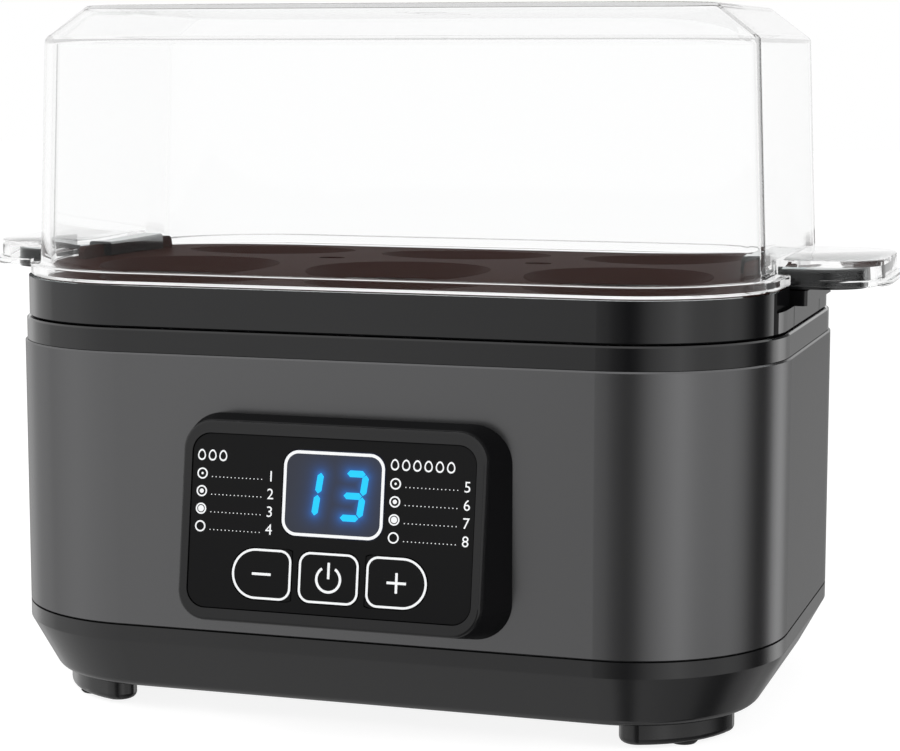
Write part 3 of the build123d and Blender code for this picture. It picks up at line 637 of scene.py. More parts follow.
def lid_ring(sizes, inset, z, extra=0.0):
    """One outline of the lid's wall: rounded corners that the flat ends cut, drawn in by inset."""
    cut, centre_x, centre_y, corner, first = wall_corner(sizes, inset + wall_lean(sizes, z) + extra)
    edge_y = centre_y + corner * math.sin(first)
    near = 0.45 * mm
    # The flat end wall, with points close to the crease
    quarter = [(cut, y) for y in (0.0, 0.3 * edge_y, 0.6 * edge_y, edge_y - 3 * near, edge_y - near)]
    # The round corner, from the crease on
    steps = 22
    swing = math.pi / 2 - first
    angles = [first, first + near / corner, first + 3 * near / corner]
    angles += [first + swing * i / steps for i in range(3, steps + 1)]
    quarter += [around(centre_x, centre_y, corner, angle) for angle in angles]
    # The front wall, to the middle
    quarter += [(centre_x * (1 - i / 6), centre_y + corner) for i in range(1, 7)]
    ring = quarter + [(-x, y) for x, y in reversed(quarter[:-1])]
    ring += [(-x, -y) for x, y in quarter[1:]]
    ring += [(x, -y) for x, y in reversed(quarter[1:-1])]
    return [(x, middle_y + y, z) for x, y in ring]


def roof_rings(sizes, inset):
    """The wall and roof as rings from the foot up, with small rounds at both creases."""
    slope = math.atan(sizes.roof_run / sizes.roof_rise)
    turn_z = wall_break(sizes) - inset * math.tan(slope / 2)
    top_z = lid_high.z - inset
    run = (top_z - turn_z) * math.tan(slope)
    soft = 0.5 * mm
    # Height and inward run of each ring: the wall, its crease, then the crease of the top
    levels = [(lid_low.z + 9 * mm, 0.0), (turn_z - 12 * mm, 0.0)]
    levels += [(turn_z + up * soft, inward * soft) for up, inward in
               ((-1.6, 0.0), (-0.5, 0.06), (0.25, 0.55), (0.9, 1.25))]
    levels += [(top_z - down * soft, run + inward * soft) for down, inward in
               ((1.3, -1.75), (0.5, -0.7), (0.1, 0.15), (0.0, 1.1))]
    return [lid_ring(sizes, inset, z, extra) for z, extra in levels]


def flange_point(sizes, x, y, inset):
    """The flange's outline beyond a point of the wall."""
    half_x = body_half_x - sizes.flange_inset - inset
    half_y = body_half_y - sizes.flange_inset - inset
    corner = body_corner - sizes.flange_inset - inset
    centre_x = half_x - corner
    centre_y = half_y - corner
    y -= middle_y
    if abs(y) <= centre_y:
        return math.copysign(half_x, x), middle_y + y
    if abs(x) <= centre_x:
        return x, middle_y + math.copysign(half_y, y)
    away = Vector((abs(x) - centre_x, abs(y) - centre_y)).normalized() * corner
    return math.copysign(centre_x + away.x, x), middle_y + math.copysign(centre_y + away.y, y)


def flange_ring(sizes, z, inset):
    return [(*flange_point(sizes, x, y, inset), z) for x, y, _ in lid_ring(sizes, 0.0, lid_low.z)]


def lid_outside(sizes):
    """The lid's outer form, with the flange at its foot."""
    low = lid_low.z
    top = low + sizes.flange_height
    soft = 0.3 * mm
    rings = [flange_ring(sizes, z, inset) for z, inset in
             ((low, soft), (low + soft, 0.0), (top - soft, 0.0), (top - 0.08 * mm, 0.1 * mm), (top, 0.35 * mm))]
    # A small fillet from the flange up into the wall
    rings += [lid_ring(sizes, inset, z) for inset, z in
              ((-0.5 * mm, top), (-0.14 * mm, top + 0.14 * mm), (0.0, top + 0.5 * mm))]
    rings += roof_rings(sizes, 0.0)
    return mesh_from("lid_outside", lambda bm: skin(bm, rings))


def lid_inside(sizes):
    """The hollow of the lid, with a softened mouth."""
    soft = 0.35 * mm
    below = 2 * mm
    rings = [lid_ring(sizes, inset, lid_low.z + up) for inset, up in
             ((sizes.wall - soft, -below), (sizes.wall - soft, 0.0), (sizes.wall, soft))]
    rings += roof_rings(sizes, sizes.wall)
    return mesh_from("lid_inside", lambda bm: skin(bm, rings))


def half_rounded(start, end, half, corner, steps=10):
    """An outline from x start to x end, with its two far corners rounded."""
    points = [(start, middle_y - half)]
    for sign, first in ((-1, -90), (1, 0)):
        points += quarter_arc(end - corner, middle_y + sign * (half - corner), corner, first, steps)
    return [*points, (start, middle_y + half)]


def prism(name, outlines, side):
    """A closed solid through outlines at given heights, mirrored to the left for side -1."""
    rings = [[(side * x, y, z) for x, y in outline] for outline, z in outlines]
    if side < 0:
        rings = [list(reversed(ring)) for ring in rings]
    return mesh_from(name, lambda bm: skin(bm, rings))


def grip_solids(sizes, side):
    """A grip's tray and brim, which are added to the lid, and the two hollows that are cut out of it."""
    low = lid_low.z
    high = low + sizes.grip_height
    top = high + sizes.grip_wall
    lip = sizes.grip_lip
    lip_high = low + sizes.grip_lip_height
    soft = 0.4 * mm
    edge = 0.3 * mm
    below = 3 * mm

    def grown(start, *levels):
        """The grip's outline from x start, grown by each level's amount, at its height."""
        return [(half_rounded(start, sizes.grip_reach + grow, sizes.grip_half + grow, sizes.grip_corner + grow), z)
                for grow, z in levels]

    start = sizes.half_width - 0.9 * mm
    tray = prism("tray", grown(start, (0.0, low), (0.0, top - soft), (-0.3 * soft, top - 0.3 * soft),
                               (-soft, top)), side)
    start = sizes.grip_reach - sizes.grip_corner - 1.5 * mm
    brim = prism("brim", grown(start, (lip - 0.2 * mm, low), (lip, low + 0.25 * mm), (lip, lip_high - edge),
                               (lip - edge, lip_high)), side)
    hollow = prism("hollow", grown(sizes.half_width, (-sizes.grip_wall, low - below), (-sizes.grip_wall, high)), side)
    # The gap in the wall's foot through which the handle passes
    half = sizes.grip_half - sizes.grip_wall
    near, far = sizes.half_width - sizes.wall - 4 * mm, sizes.half_width + 0.5 * mm
    gap = [(near, middle_y - half), (far, middle_y - half), (far, middle_y + half), (near, middle_y + half)]
    under = prism("under", [(gap, low - below), (gap, low + 1.3 * mm)], side)
    return (tray, brim), (hollow, under)


def steam_slot(sizes, row):
    """The solid that cuts one steam slot through the top."""
    half_x, half_y = sizes.slot_length / 2, sizes.slot_width / 2
    outline = shifted(rounded_outline(half_x, half_y, half_y - 0.001 * mm, 8), 0.0, middle_y + row * sizes.slot_pitch)
    return prism("steam_slot", [(outline, lid_high.z - 6 * mm), (outline, lid_high.z + 3 * mm)], 1)


def crease_gap(sizes, point, inset):
    """How far a point of the wall or roof lies from the nearest upright crease."""
    climb = max(0.0, point.z - wall_break(sizes)) * sizes.roof_run / sizes.roof_rise
    cut, _, centre_y, corner, first = wall_corner(sizes, inset + wall_lean(sizes, point.z) + climb)
    return math.hypot(abs(point.x) - cut, abs(point.y - middle_y) - centre_y - corner * math.sin(first))


def mark_edges(mesh, sizes):
    """Writes how near each point is to one of the lid's upright creases, where grey is painted as shade."""
    reach = 0.85 * mm
    turn_z = wall_break(sizes)
    values = []
    for vertex in mesh.vertices:
        point = vertex.co
        level = 0.0
        if point.z > lid_low.z + sizes.flange_height:
            # Painted shade: the front creases of the wall get the full grey, the roof less and the back ones hardly
            # any
            strength = 0.04
            if point.y < middle_y:
                strength = 1.0 if point.z < turn_z else 0.15
            for inset, share_of_edge in ((0.0, 1.0), (sizes.wall, 0.25)):
                nearness = max(0.0, 1.0 - crease_gap(sizes, point, inset) / reach)
                level = max(level, strength * share_of_edge * nearness)
        values.append(level)
    attribute = mesh.attributes.new("edge", "FLOAT", "POINT")
    attribute.data.foreach_set("value", values)


def make_lid(sizes):
    """The lid as one clear solid that takes the place of the plain one."""
    solid = lid_outside(sizes)
    (left_added, left_cut), (right_added, right_cut) = [grip_solids(sizes, side) for side in (-1, 1)]
    for other in (*left_added, *right_added):
        solid = combine("lid", solid, other, "UNION")
    slots = [steam_slot(sizes, row) for row in (-1, 0, 1)]
    for other in (lid_inside(sizes), *left_cut, *right_cut, *slots):
        solid = combine("lid", solid, other, "DIFFERENCE")
    bm = bmesh.new()
    bm.from_mesh(solid)
    smallest = 0.002 * mm
    bmesh.ops.remove_doubles(bm, verts=bm.verts, dist=smallest)
    bmesh.ops.dissolve_degenerate(bm, edges=bm.edges, dist=smallest)
    bm.to_mesh(solid)
    bm.free()
    smooth_by_angle(solid, 24.0)
    mark_edges(solid, sizes)
    grip_start = sizes.half_width + 1.0 * mm
    grip_top = lid_low.z + sizes.grip_height + sizes.grip_wall
    piece = add_object("clear_lid", solid, clear_plastic("lid_clear", grip_start, grip_top))
    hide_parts("lid")
    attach(piece, "lid")


# Panel plane
def panel_point(sizes, x, up, out=0.0):
    """A point on the panel's face: x to the right, up along its lean, out towards the user."""
    lift, lean = math.cos(sizes.tilt), math.sin(sizes.tilt)
    y = middle_y - body_half_y - sizes.middle_drop + up * lean - out * lift
    return Vector((x, y, sizes.middle_z + up * lift + out * lean))


def printed_mesh(name, sizes, borders=(), shapes=()):
    """Flat printed shapes with the ink's own thickness: bands between two outlines, and filled outlines."""
    base = -sizes.sunk
    top = base + sizes.print_height

    def build(bm):
        for outer, inner in borders:
            rows = [[bm.verts.new(panel_point(sizes, x, up, out)) for x, up in line] for line, out in
                    ((outer, base), (outer, top), (inner, top), (inner, base))]
            for low, high in zip(rows, rows[1:] + rows[:1]):
                band(bm, low, high)
        for outline in shapes:
            skin(bm, [[panel_point(sizes, x, up, out) for x, up in outline] for out in (base, top)])
        bmesh.ops.recalc_face_normals(bm, faces=bm.faces)

    return mesh_from(name, build)


def key_x(sizes, which):
    """The middle of the minus key (-1), the power key (0) or the plus key (1)."""
    return sizes.key_side + which * sizes.key_pitch


def key_outline(sizes, which, inset):
    """A key's outline: round at its outer end, or a rounded square in the middle."""
    half_x = sizes.key_width / 2 - inset
    half_y = sizes.key_height / 2 - inset
    full = half_y - 0.0001 * mm
    right, left = [full if which == side else sizes.key_corner - inset for side in (1, -1)]
    return shifted(rounded_outline(half_x, half_y, right, 16, left), key_x(sizes, which), sizes.key_middle)


def bar(middle_x, middle_up, long_x, long_up):
    """A bar of a printed mark, with softened corners."""
    outline = rounded_outline(long_x / 2, long_up / 2, min(long_x, long_up) * 0.12, 4)
    return shifted(outline, middle_x, middle_up)


def arc_band(middle_x, middle_up, radius, width, gap):
    """The open ring of the power mark, as one outline, with its gap in degrees at the top."""
    spread = [math.radians(90 + gap / 2 + (360 - gap) * i / 48) for i in range(49)]
    outer = [around(middle_x, middle_up, radius, angle) for angle in spread]
    inner = [around(middle_x, middle_up, radius - width, angle) for angle in reversed(spread)]
    return outer + inner


def key_print(sizes, which):
    """The outline and the mark on one key."""
    inset = 0.1 * mm
    sign_length = 4.1 * mm
    ring_radius, ring_gap = 2.8 * mm, 66
    line = sizes.mark_line
    x, up = key_x(sizes, which), sizes.key_middle
    if which == 0:
        mark = [arc_band(x, up - 0.2 * mm, ring_radius, line, ring_gap), bar(x, up + 1.55 * mm, line, 3.3 * mm)]
    else:
        mark = [bar(x, up, sign_length, line)]
    if which == 1:
        arm = (sign_length - line) / 2
        mark += [bar(x, up + side * (line + arm) / 2, line, arm) for side in (-1, 1)]
    border = [key_outline(sizes, which, drawn_in) for drawn_in in (inset, inset + sizes.key_line)]
    return printed_mesh("key_print", sizes, [border], mark)


def printed_number(sizes, text, x, up):
    """A printed number that ends at x, as a mesh on the panel."""
    curve = bpy.data.curves.new("number", "FONT")
    curve.body = text
    curve.size = sizes.figure_size
    curve.align_x = "RIGHT"
    curve.align_y = "CENTER"
    curve.extrude = sizes.print_height / 2
    curve.resolution_u = 3
    piece = bpy.data.objects.new("number", curve)
    bpy.context.scene.collection.objects.link(piece)
    mesh = plain_mesh(piece, "number")
    bpy.data.objects.remove(piece)
    right = Vector((1, 0, 0))
    rise = panel_point(sizes, 0, 1) - panel_point(sizes, 0, 0)
    out = panel_point(sizes, 0, 0, 1) - panel_point(sizes, 0, 0)
    place = Matrix((right, rise, out)).transposed().to_4x4()
    place.translation = panel_point(sizes, x, up, sizes.print_height / 2 - sizes.sunk)
    mesh.transform(place)
    return mesh


def joined(name, meshes):
    """Several meshes as one."""
    bm = bmesh.new()
    for mesh in meshes:
        bm.from_mesh(mesh)
    result = bpy.data.meshes.new(name)
    bm.to_mesh(result)
    bm.free()
    return result


def oval(x, up, half_width, half_height, taper=0.0):
    """A small oval, narrower at its top by the taper."""
    angles = [2 * math.pi * i / 28 for i in range(28)]
    return [(x + half_width * math.cos(angle) * (1 - taper * math.sin(angle)), up + half_height * math.sin(angle))
            for angle in angles]


def row_mark(sizes, x, up, fill):
    """A small ring with a dot that says how firm the row's setting is."""
    border = [oval(x, up, radius, radius) for radius in (1.15 * mm, 0.85 * mm)]
    return printed_mesh("row_mark", sizes, [border], [oval(x, up, fill, fill)] if fill else [])


def oval_mark(sizes, x, up):
    """A small printed oval, narrower at its top."""
    border = [oval(x, up, scale * 0.86 * mm, scale * 1.15 * mm, 0.14) for scale in (1.0, 0.7)]
    return printed_mesh("oval_mark", sizes, [border])


def dot_nodes(material, controls):
    """Geometry Nodes that set a flat dot on each point, and the identifiers of their controls."""
    tree = bpy.data.node_groups.new("leader_dots", "GeometryNodeTree")
    tree.is_modifier = True
    face = tree.interface
    face.new_socket("Geometry", in_out="INPUT", socket_type="NodeSocketGeometry")
    keys = [face.new_socket(name, in_out="INPUT", socket_type="NodeSocketFloat").identifier for name in controls]
    face.new_socket("Geometry", in_out="OUTPUT", socket_type="NodeSocketGeometry")
    dots = Recipe(tree)
    points, radius, height, lean = dots.outputs("NodeGroupInput", {}, "Geometry", *controls)
    dot = dots.node("GeometryNodeMeshCylinder", {}, {"Vertices": 12, "Radius": radius, "Depth": height}, "Mesh")
    angles = dots.node("ShaderNodeCombineXYZ", {}, {"X": lean})
    spread = dots.node("GeometryNodeInstanceOnPoints", {}, {"Points": points, "Instance": dot, "Rotation": angles})
    real = dots.node("GeometryNodeRealizeInstances", {}, {"Geometry": spread})
    painted = dots.node("GeometryNodeSetMaterial", {}, {"Geometry": real, "Material": material})
    dots.node("NodeGroupOutput", {}, {"Geometry": painted}, None)
    return tree, keys


def leader_dots(sizes, rows, material):
    """Dots between each row's mark and its number."""
    pitch = 0.75 * mm
    middle = sizes.print_height / 2 - sizes.sunk
    points = []
    for start, end, up in rows:
        count = max(2, int((end - start) / pitch))
        step = (end - start) / (count - 1)
        points += [panel_point(sizes, start + step * i, up, middle) for i in range(count)]
    mesh = bpy.data.meshes.new("dot_places")
    mesh.from_pydata(points, [], [])
    piece = add_object("dot_places", mesh)
    change = piece.modifiers.new("dots", "NODES")
    controls = {"Dot radius": 0.11 * mm, "Ink height": sizes.print_height,
                "Panel lean": math.radians(90) - sizes.tilt}
    change.node_group, keys = dot_nodes(material, controls)
    for key, value in zip(keys, controls.values()):
        change[key] = value
    dots = plain_mesh(piece, "leader_dots")
    bpy.data.objects.remove(piece)
    return dots


def row_marks(sizes, white):
    """The ovals, the rows of ringed dots and their numbers, in two columns."""
    oval_start, oval_pitch = 0.9 * mm, 2.35 * mm
    dot_x, leader_start, leader_end, leader_drop = 1.2 * mm, 3.4 * mm, 14.2 * mm, 0.6 * mm
    fills = (0.25 * mm, 0.45 * mm, 0.66 * mm, 0.0)
    meshes = []
    leaders = []
    for start, ovals, first_number in ((sizes.left_column, 3, 1), (sizes.right_column, 6, 5)):
        for i in range(ovals):
            meshes.append(oval_mark(sizes, start + oval_start + oval_pitch * i, sizes.oval_up))
        for row, fill in enumerate(fills):
            up = sizes.row_up - row * sizes.row_pitch
            meshes.append(printed_number(sizes, str(first_number + row), start + sizes.column_width, up))
            meshes.append(row_mark(sizes, start + dot_x, up, fill))
            leaders.append((start + leader_start, start + leader_end, up - leader_drop))
    meshes.append(leader_dots(sizes, leaders, white))
    return joined("printed_marks", meshes)


def window_border(sizes):
    """The white line around the display window."""
    inset = 0.06 * mm
    border = []
    for drawn_in in (inset, inset + sizes.print_width):
        outline = rounded_outline(sizes.window_width / 2 - drawn_in, sizes.window_height / 2 - drawn_in,
                                  sizes.window_corner - drawn_in)
        border.append(shifted(outline, sizes.window_side, sizes.window_middle))
    return printed_mesh("window_border", sizes, [border])


def make_marks(sizes, colours):
    """Everything that is printed on the plate, and on the three keys."""
    white = ink("print_white", tuple(colours.ink))
    prints = [("printed_marks", "base", row_marks(sizes, white)), ("window_border", "base", window_border(sizes))]
    prints += [(name, body, key_print(sizes, which)) for name, body, which in
               (("minus_print", "minus", -1), ("power_print", "power", 0), ("plus_print", "plus", 1))]
    for name, body, mesh in prints:
        piece = add_object(name, mesh, white)
        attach(piece, body)


# Display
def digit_bars(sizes):
    """The lit bars of the two figures, as pairs of end points."""
    height, width = sizes.digit_height, sizes.digit_width
    stroke = sizes.digit_stroke
    inner_w, inner_h = width - stroke, (height - stroke) / 2
    gap = 0.47 * stroke
    first_bars, second_middle = -2.85 * mm, 4.65 * mm
    # The ends of each bar, in columns and rows, under its usual letter
    corners = {"a": ((0, 2), (1, 2)), "b": ((1, 2), (1, 1)), "c": ((1, 1), (1, 0)),
               "d": ((0, 0), (1, 0)), "g": ((0, 1), (1, 1))}
    figures = ((first_bars - inner_w, "bc"), (second_middle - inner_w / 2, "abgcd"))
    bars = []
    for left, letters in figures:
        for letter in letters:
            (x0, y0), (x1, y1) = corners[letter]
            start = Vector((left + x0 * inner_w, sizes.window_middle + (y0 - 1) * inner_h))
            end = Vector((left + x1 * inner_w, sizes.window_middle + (y1 - 1) * inner_h))
            along = (end - start).normalized() * gap
            start += along
            end -= along
            for point in (start, end):
                point.x += (point.y - sizes.window_middle) * math.tan(sizes.digit_slant)
            bars.append((start, end))
    return bars


def bar_outline(start, end, stroke):
    """A lit bar: a slim hexagon with softened points."""
    along = (end - start).normalized()
    across = Vector((-along.y, along.x)) * stroke / 2
    tip = along * stroke * 0.42
    shoulder = along * stroke * 0.05
    points = [start - tip, start + shoulder - across, end - shoulder - across,
              end + tip, end - shoulder + across, start + shoulder + across]
    return [(point.x, point.y) for point in points]


def make_digits(sizes, colours):
    """The lit figures, as thin bars on the window."""
    finish = Finish("display_blue", emission_strength=1.15)
    core = finish.noise(700.0, 2.0)
    glow = tuple(colours.glow)
    finish.set("Base Color", (0.0, 0.02, 0.03))
    finish.set("Emission Color", finish.blend(core, shaded(glow, 0.92), glow))
    finish.set("Roughness", (0.4 + 0.1 * core).clamp())

    bars = [bar_outline(start, end, sizes.digit_stroke * 0.9) for start, end in digit_bars(sizes)]
    piece = add_object("lit_figures", printed_mesh("lit_figures", sizes, shapes=bars), finish.material)
    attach(piece, "base")


def lit_window(sizes):
    """Smoked window with a painted blue glow around each lit bar, for the bars' light spreading in the glass."""
    finish = Finish("display_window", roughness=0.16, specular_ior_level=0.24, emission_strength=1.0)
    x, _, z = finish.axes()
    up = (z - panel_point(sizes, 0, 0).z) / math.cos(sizes.tilt)
    nearest = None
    for start, end in digit_bars(sizes):
        reach = (end - start).length
        along = (end - start) / reach
        side_x = x - start.x
        side_up = up - start.y
        travel = (side_x * along.x + side_up * along.y).clamp(0.0, reach)
        off_x = side_x - travel * along.x
        off_up = side_up - travel * along.y
        square = off_x * off_x + off_up * off_up
        nearest = square if nearest is None else nearest.math("MINIMUM", nearest, square)
    distance = nearest ** 0.5
    # Both parts of the painted glow fade with the distance from the nearest bar
    painted_halo, painted_halo_core = [(2.718 ** (-1.0 * distance / reach)).clamp() for reach in (1.5 * mm, 0.6 * mm)]
    cloud = finish.noise(90.0, 2.0)
    finish.set("Base Color", finish.blend(cloud, (0.018, 0.021, 0.03), (0.024, 0.027, 0.036)))
    # Painted light: the window glows dark blue everywhere and brighter blue near the bars
    back = finish.blend(painted_halo * 0.85, (0.007, 0.008, 0.013), (0.004, 0.055, 0.24))
    finish.set("Emission Color", finish.blend(painted_halo_core * 0.75, back, (0.0, 0.24, 0.85)))
    dress(finish.material, "display_window")


# Stage
# Soft boxes around the stage, which only glossy surfaces see: azimuth in degrees, and brightness
soft_boxes = ((-180, 0.8), (-165, 0.96), (-150, 1.06), (-128, 0.93), (-110, 0.84), (-103, 0.7),
              (-91, 0.22), (-80, 0.03), (-74, 0.16), (-66, 0.6), (-54, 1.05), (-43, 1.4), (-30, 0.97),
              (-16, 0.88), (-3, 0.95), (8, 0.72), (17, 0.26), (24, 0.03), (33, 0.03), (39, 0.42),
              (45, 1.4), (54, 1.8), (62, 1.2), (70, 0.55), (82, 0.38), (106, 0.38), (123, 0.42),
              (135, 0.82), (147, 1.18), (160, 0.98))
strongest = 2.0
overhead_level = 1.12
low_level = 0.78


def soft_box_light(sky):
    """The brightness of the soft boxes in a direction: bright overhead, dim towards the floor."""
    x, y, height = sky.axes(sky.node("ShaderNodeTexCoord", {}, {}, "Generated"))
    turn_share = x.math("ARCTAN2", y, x) / (2 * math.pi) + 0.5
    stops = [((degrees + 180) / 360, level / strongest) for degrees, level in soft_boxes]
    ring = sky.node("ShaderNodeValToRGB", {"stops": stops}, {"Fac": turn_share}, "Color")
    above = ((height - 0.02) / 0.08).clamp()
    below = ((-0.25 - height) / 0.2).clamp()
    dim = ring.math("MINIMUM", ring, low_level / strongest) * (0.86 - 0.9 * x.clamp())
    level = sky.blend(below, sky.blend(above, ring, (overhead_level / strongest,) * 3), dim)
    return sky.node("ShaderNodeBackground", {}, {"Color": level, "Strength": strongest})


def studio_world(settings):
    """Even light for surfaces, white behind everything, and a ring of soft boxes for reflections."""
    world = bpy.data.worlds.new("studio")
    bpy.context.scene.world = world
    world.use_nodes = True
    world.node_tree.nodes.clear()
    sky = Recipe(world.node_tree)
    boxes = soft_box_light(sky)
    even, white = [sky.node("ShaderNodeBackground", {}, {"Color": (1, 1, 1, 1), "Strength": strength})
                   for strength in (settings.sky, 1.0)]
    shiny, seen, through, sharp = sky.outputs(
        "ShaderNodeLightPath", {}, "Is Glossy Ray", "Is Camera Ray", "Is Transmission Ray", "Is Singular Ray")
    light = sky.node("ShaderNodeMixShader", {}, {"Fac": shiny, 1: even, 2: boxes})
    shown = sky.node("ShaderNodeMixShader", {}, {"Fac": (seen + through + sharp).clamp(), 1: light, 2: white})
    sky.node("ShaderNodeOutputWorld", {}, {"Surface": shown}, None)


def make_floor():
    """A pale floor that keeps the object's shadow and stays out of reflections."""
    half = 3.0
    corners = ((-half, -half, 0), (half, -half, 0), (half, half, 0), (-half, half, 0))
    mesh = mesh_from("floor", lambda bm: bm.faces.new([bm.verts.new(corner) for corner in corners]))
    finish = Finish("floor_white", roughness=0.9, specular_ior_level=0.0, emission_strength=0.88)
    finish.set("Base Color", (0.3, 0.3, 0.3))
    finish.set("Emission Color", (1.0, 1.0, 1.0))
    shiny, = finish.outputs("ShaderNodeLightPath", {}, "Is Glossy Ray")
    finish.mix_with(shiny, finish.see_through((1.0, 1.0, 1.0)))
    add_object("floor", mesh, finish.material)


def lamp(name, place, target, size, power):
    """A rectangular lamp that neither reflections nor the clear lid show."""
    light = bpy.data.lights.new(name, "AREA")
    light.shape = "RECTANGLE"
    light.size, light.size_y = size
    light.energy = power
    piece = bpy.data.objects.new(name, light)
    piece.location = place
    piece.rotation_euler = (Vector(target) - Vector(place)).to_track_quat("-Z", "Y").to_euler()
    piece.visible_glossy = False
    piece.visible_transmission = False
    bpy.context.scene.collection.objects.link(piece)


def make_camera(settings):
    """The camera at the photograph's angle."""
    camera = bpy.data.cameras.new("camera")
    camera.sensor_fit = "HORIZONTAL"
    camera.sensor_width = 36.0
    camera.lens = settings.lens
    camera.clip_start = 0.01
    piece = bpy.data.objects.new("camera", camera)
    piece.location = settings.eye
    piece.rotation_euler = (math.pi / 2 - settings.dip, 0.0, settings.pan)
    bpy.context.scene.collection.objects.link(piece)
    bpy.context.scene.camera = piece


# Operators
class OBJECT_OT_housing(bpy.types.Operator):
    """Paints the grey housing and the two black rings above it"""

    bl_idname = "egg_cooker.housing"
    bl_label = "Housing and rings"

    def execute(self, context):
        colours = context.scene.egg_cooker.finish
        black, polish = tuple(colours.black), colours.black_roughness
        dress(painted_metallic("shell_grey", tuple(colours.housing), colours.housing_roughness), "body_shell")
        dress(moulded("band_black", black, polish), "lower_collar")
        # Where the top ring's pockets get their painted shade
        pocket_x, ledge_half = body_half_x - 2.05 * mm, 17.0 * mm
        dress(ring_black_painted_pocket_shade("rim_black", black, polish, pocket_x, ledge_half), "rim_ring")
        return {"FINISHED"}


class OBJECT_OT_base(bpy.types.Operator):
    """Finishes the base cover, its pads, screws and the cord's gland"""

    bl_idname = "egg_cooker.base"
    bl_label = "Base"

    def execute(self, context):
        colours = context.scene.egg_cooker.finish
        dress(moulded("base_black", tuple(colours.base), 0.17, 0.006 * mm), "base_cover", "panel_clamp")
        dress(rubber("pad_rubber", (0.012, 0.012, 0.012)), "foot_pads")
        dress(rubber("gland_rubber", (0.02, 0.02, 0.02)), "cable_gland")
        dress(brushed_steel("screw_steel", (0.5, 0.5, 0.5), 0.22), "base_screws", "board_screws")
        return {"FINISHED"}


class OBJECT_OT_rack(bpy.types.Operator):
    """Finishes the smoked egg rack and its two black handles"""

    bl_idname = "egg_cooker.rack"
    bl_label = "Rack and handles"

    def execute(self, context):
        colours = context.scene.egg_cooker.finish
        dress(smoked("rack_smoke", tuple(colours.smoke)), "egg_rack")
        handle_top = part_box("rack_handle_left")[0].z + 4.1 * mm
        black = handle_black("handle_black", tuple(colours.black), handle_top)
        dress(black, "rack_handle_left", "rack_handle_right")
        return {"FINISHED"}


class OBJECT_OT_lid(bpy.types.Operator):
    """Makes the clear lid with its flange, grips and steam slots"""

    bl_idname = "egg_cooker.lid"
    bl_label = "Clear lid"

    def execute(self, context):
        make_lid(context.scene.egg_cooker.lid)
        return {"FINISHED"}


class OBJECT_OT_heater(bpy.types.Operator):
    """Finishes the water pan, its seal and the heating parts under it"""

    bl_idname = "egg_cooker.heater"
    bl_label = "Pan and heater"

    def execute(self, context):
        colours = context.scene.egg_cooker.finish
        dress(brushed_steel("pan_steel", tuple(colours.steel), 0.2), "heating_plate")
        dress(rubber("seal_silicone", (0.45, 0.45, 0.43)), "pan_gasket")
        dress(brushed_steel("element_steel", (0.16, 0.155, 0.15), 0.4, (200.0, 900.0, 900.0)), "heating_element")
        dress(brushed_steel("terminal_steel", (0.55, 0.55, 0.52), 0.25), "element_terminals", "thermostat")
        shield = brushed_steel("shield_metal", (0.5, 0.51, 0.5), 0.35, (400.0, 400.0, 400.0))
        dress(shield, "heat_shield", "element_clamps")
        dress(brushed_steel("fuse_metal", (0.6, 0.56, 0.45), 0.25), "thermal_fuse", "temperature_sensor")
        return {"FINISHED"}


class OBJECT_OT_boards(bpy.types.Operator):
    """Finishes the circuit boards and what stands on them"""

    bl_idname = "egg_cooker.boards"
    bl_label = "Boards"

    def execute(self, context):
        dress(laminate("board_green", (0.012, 0.07, 0.03)), "control_board", "power_board")
        dress(moulded("switch_black", (0.02, 0.02, 0.02), 0.4), "key_switches", "buzzer")
        dress(moulded("module_white", (0.62, 0.62, 0.6), 0.45), "display_module", "terminal_block")
        dress(moulded("relay_blue", (0.02, 0.07, 0.3), 0.35), "power_relay")
        dress(moulded("transformer_yellow", (0.55, 0.38, 0.05), 0.45), "board_transformer")
        dress(moulded("capacitor_yellow", (0.6, 0.42, 0.06), 0.35), "filter_capacitor")
        return {"FINISHED"}


class OBJECT_OT_panel(bpy.types.Operator):
    """Finishes the panel's frame, its plate and the three keys"""

    bl_idname = "egg_cooker.panel"
    bl_label = "Control panel"

    def execute(self, context):
        settings = context.scene.egg_cooker
        black = tuple(settings.finish.black)
        dress(framed_black("bezel_black", black, settings.panel), "panel_bezel")
        plate = moulded("panel_black", shaded(black, 0.6), 0.09, 0.0004 * mm, specular_ior_level=0.12)
        dress(plate, "panel_glass", "key_minus", "key_power", "key_plus")
        return {"FINISHED"}


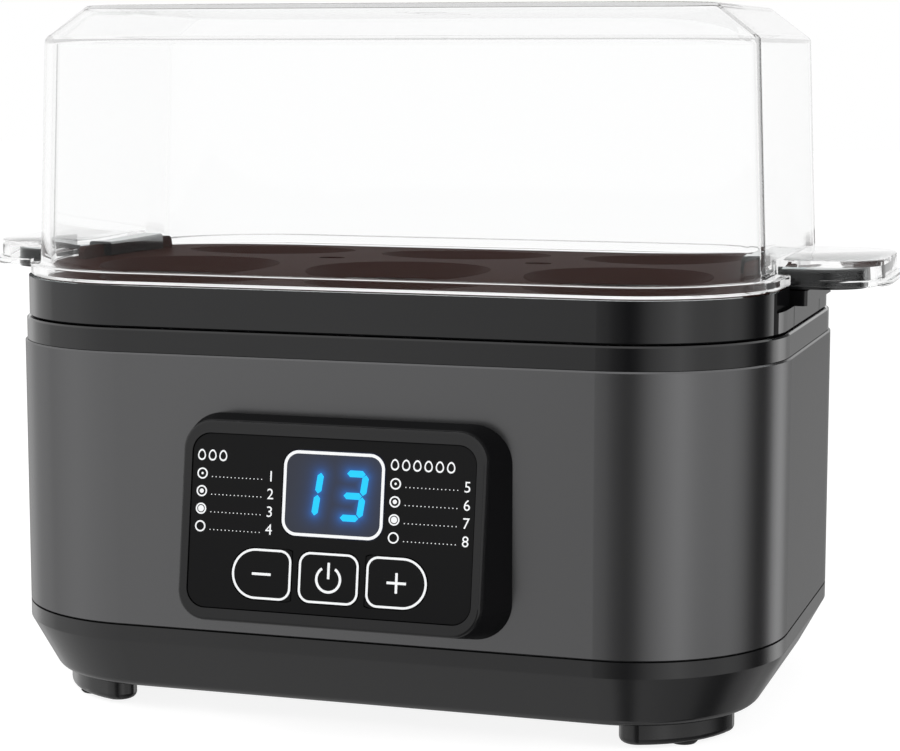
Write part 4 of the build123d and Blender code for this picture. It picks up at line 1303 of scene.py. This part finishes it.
class OBJECT_OT_marks(bpy.types.Operator):
    """Prints the white outlines, numbers and marks on the plate and the keys"""

    bl_idname = "egg_cooker.marks"
    bl_label = "Printed marks"

    def execute(self, context):
        settings = context.scene.egg_cooker
        make_marks(settings.panel, settings.finish)
        return {"FINISHED"}


class OBJECT_OT_display(bpy.types.Operator):
    """Makes the smoked window and the lit figures on its face"""

    bl_idname = "egg_cooker.display"
    bl_label = "Display"

    def execute(self, context):
        settings = context.scene.egg_cooker
        lit_window(settings.panel)
        make_digits(settings.panel, settings.finish)
        return {"FINISHED"}


class OBJECT_OT_stage(bpy.types.Operator):
    """Sets up the floor, the light and the camera"""

    bl_idname = "egg_cooker.stage"
    bl_label = "Stage"

    def execute(self, context):
        stage = context.scene.egg_cooker.stage
        studio_world(stage)
        make_floor()
        lamp("key_lamp", (-0.55, -0.7, 1.0), (0.0, 0.0, 0.05), (0.9, 0.7), stage.key_power)
        lamp("fill_lamp", (0.8, -0.3, 0.7), (0.0, 0.0, 0.07), (0.6, 0.6), stage.fill_power)
        make_camera(stage)
        context.scene.view_settings.view_transform = "Standard"
        return {"FINISHED"}


operators = (OBJECT_OT_housing, OBJECT_OT_base, OBJECT_OT_rack, OBJECT_OT_lid, OBJECT_OT_heater,
             OBJECT_OT_boards, OBJECT_OT_panel, OBJECT_OT_marks, OBJECT_OT_display, OBJECT_OT_stage)


class VIEW3D_PT_egg_cooker(bpy.types.Panel):
    """Lists the operators that make the egg cooker"""

    bl_label = "Egg cooker"
    bl_space_type = "VIEW_3D"
    bl_region_type = "UI"
    bl_category = "Egg cooker"

    def draw(self, context):
        for operator in operators:
            self.layout.operator(operator.bl_idname)


classes = (LidSizes, PanelSizes, Finishes, StageSettings, CookerSettings, *operators, VIEW3D_PT_egg_cooker)


def register():
    for item in classes:
        bpy.utils.register_class(item)
    bpy.types.Scene.egg_cooker = bpy.props.PointerProperty(type=CookerSettings)


def unregister():
    del bpy.types.Scene.egg_cooker
    for item in reversed(classes):
        bpy.utils.unregister_class(item)


def main():
    """Makes every piece in order."""
    register()
    for operator in operators:
        group, name = operator.bl_idname.split(".")
        getattr(getattr(bpy.ops, group), name)()


if __name__ == "__main__":
    main()
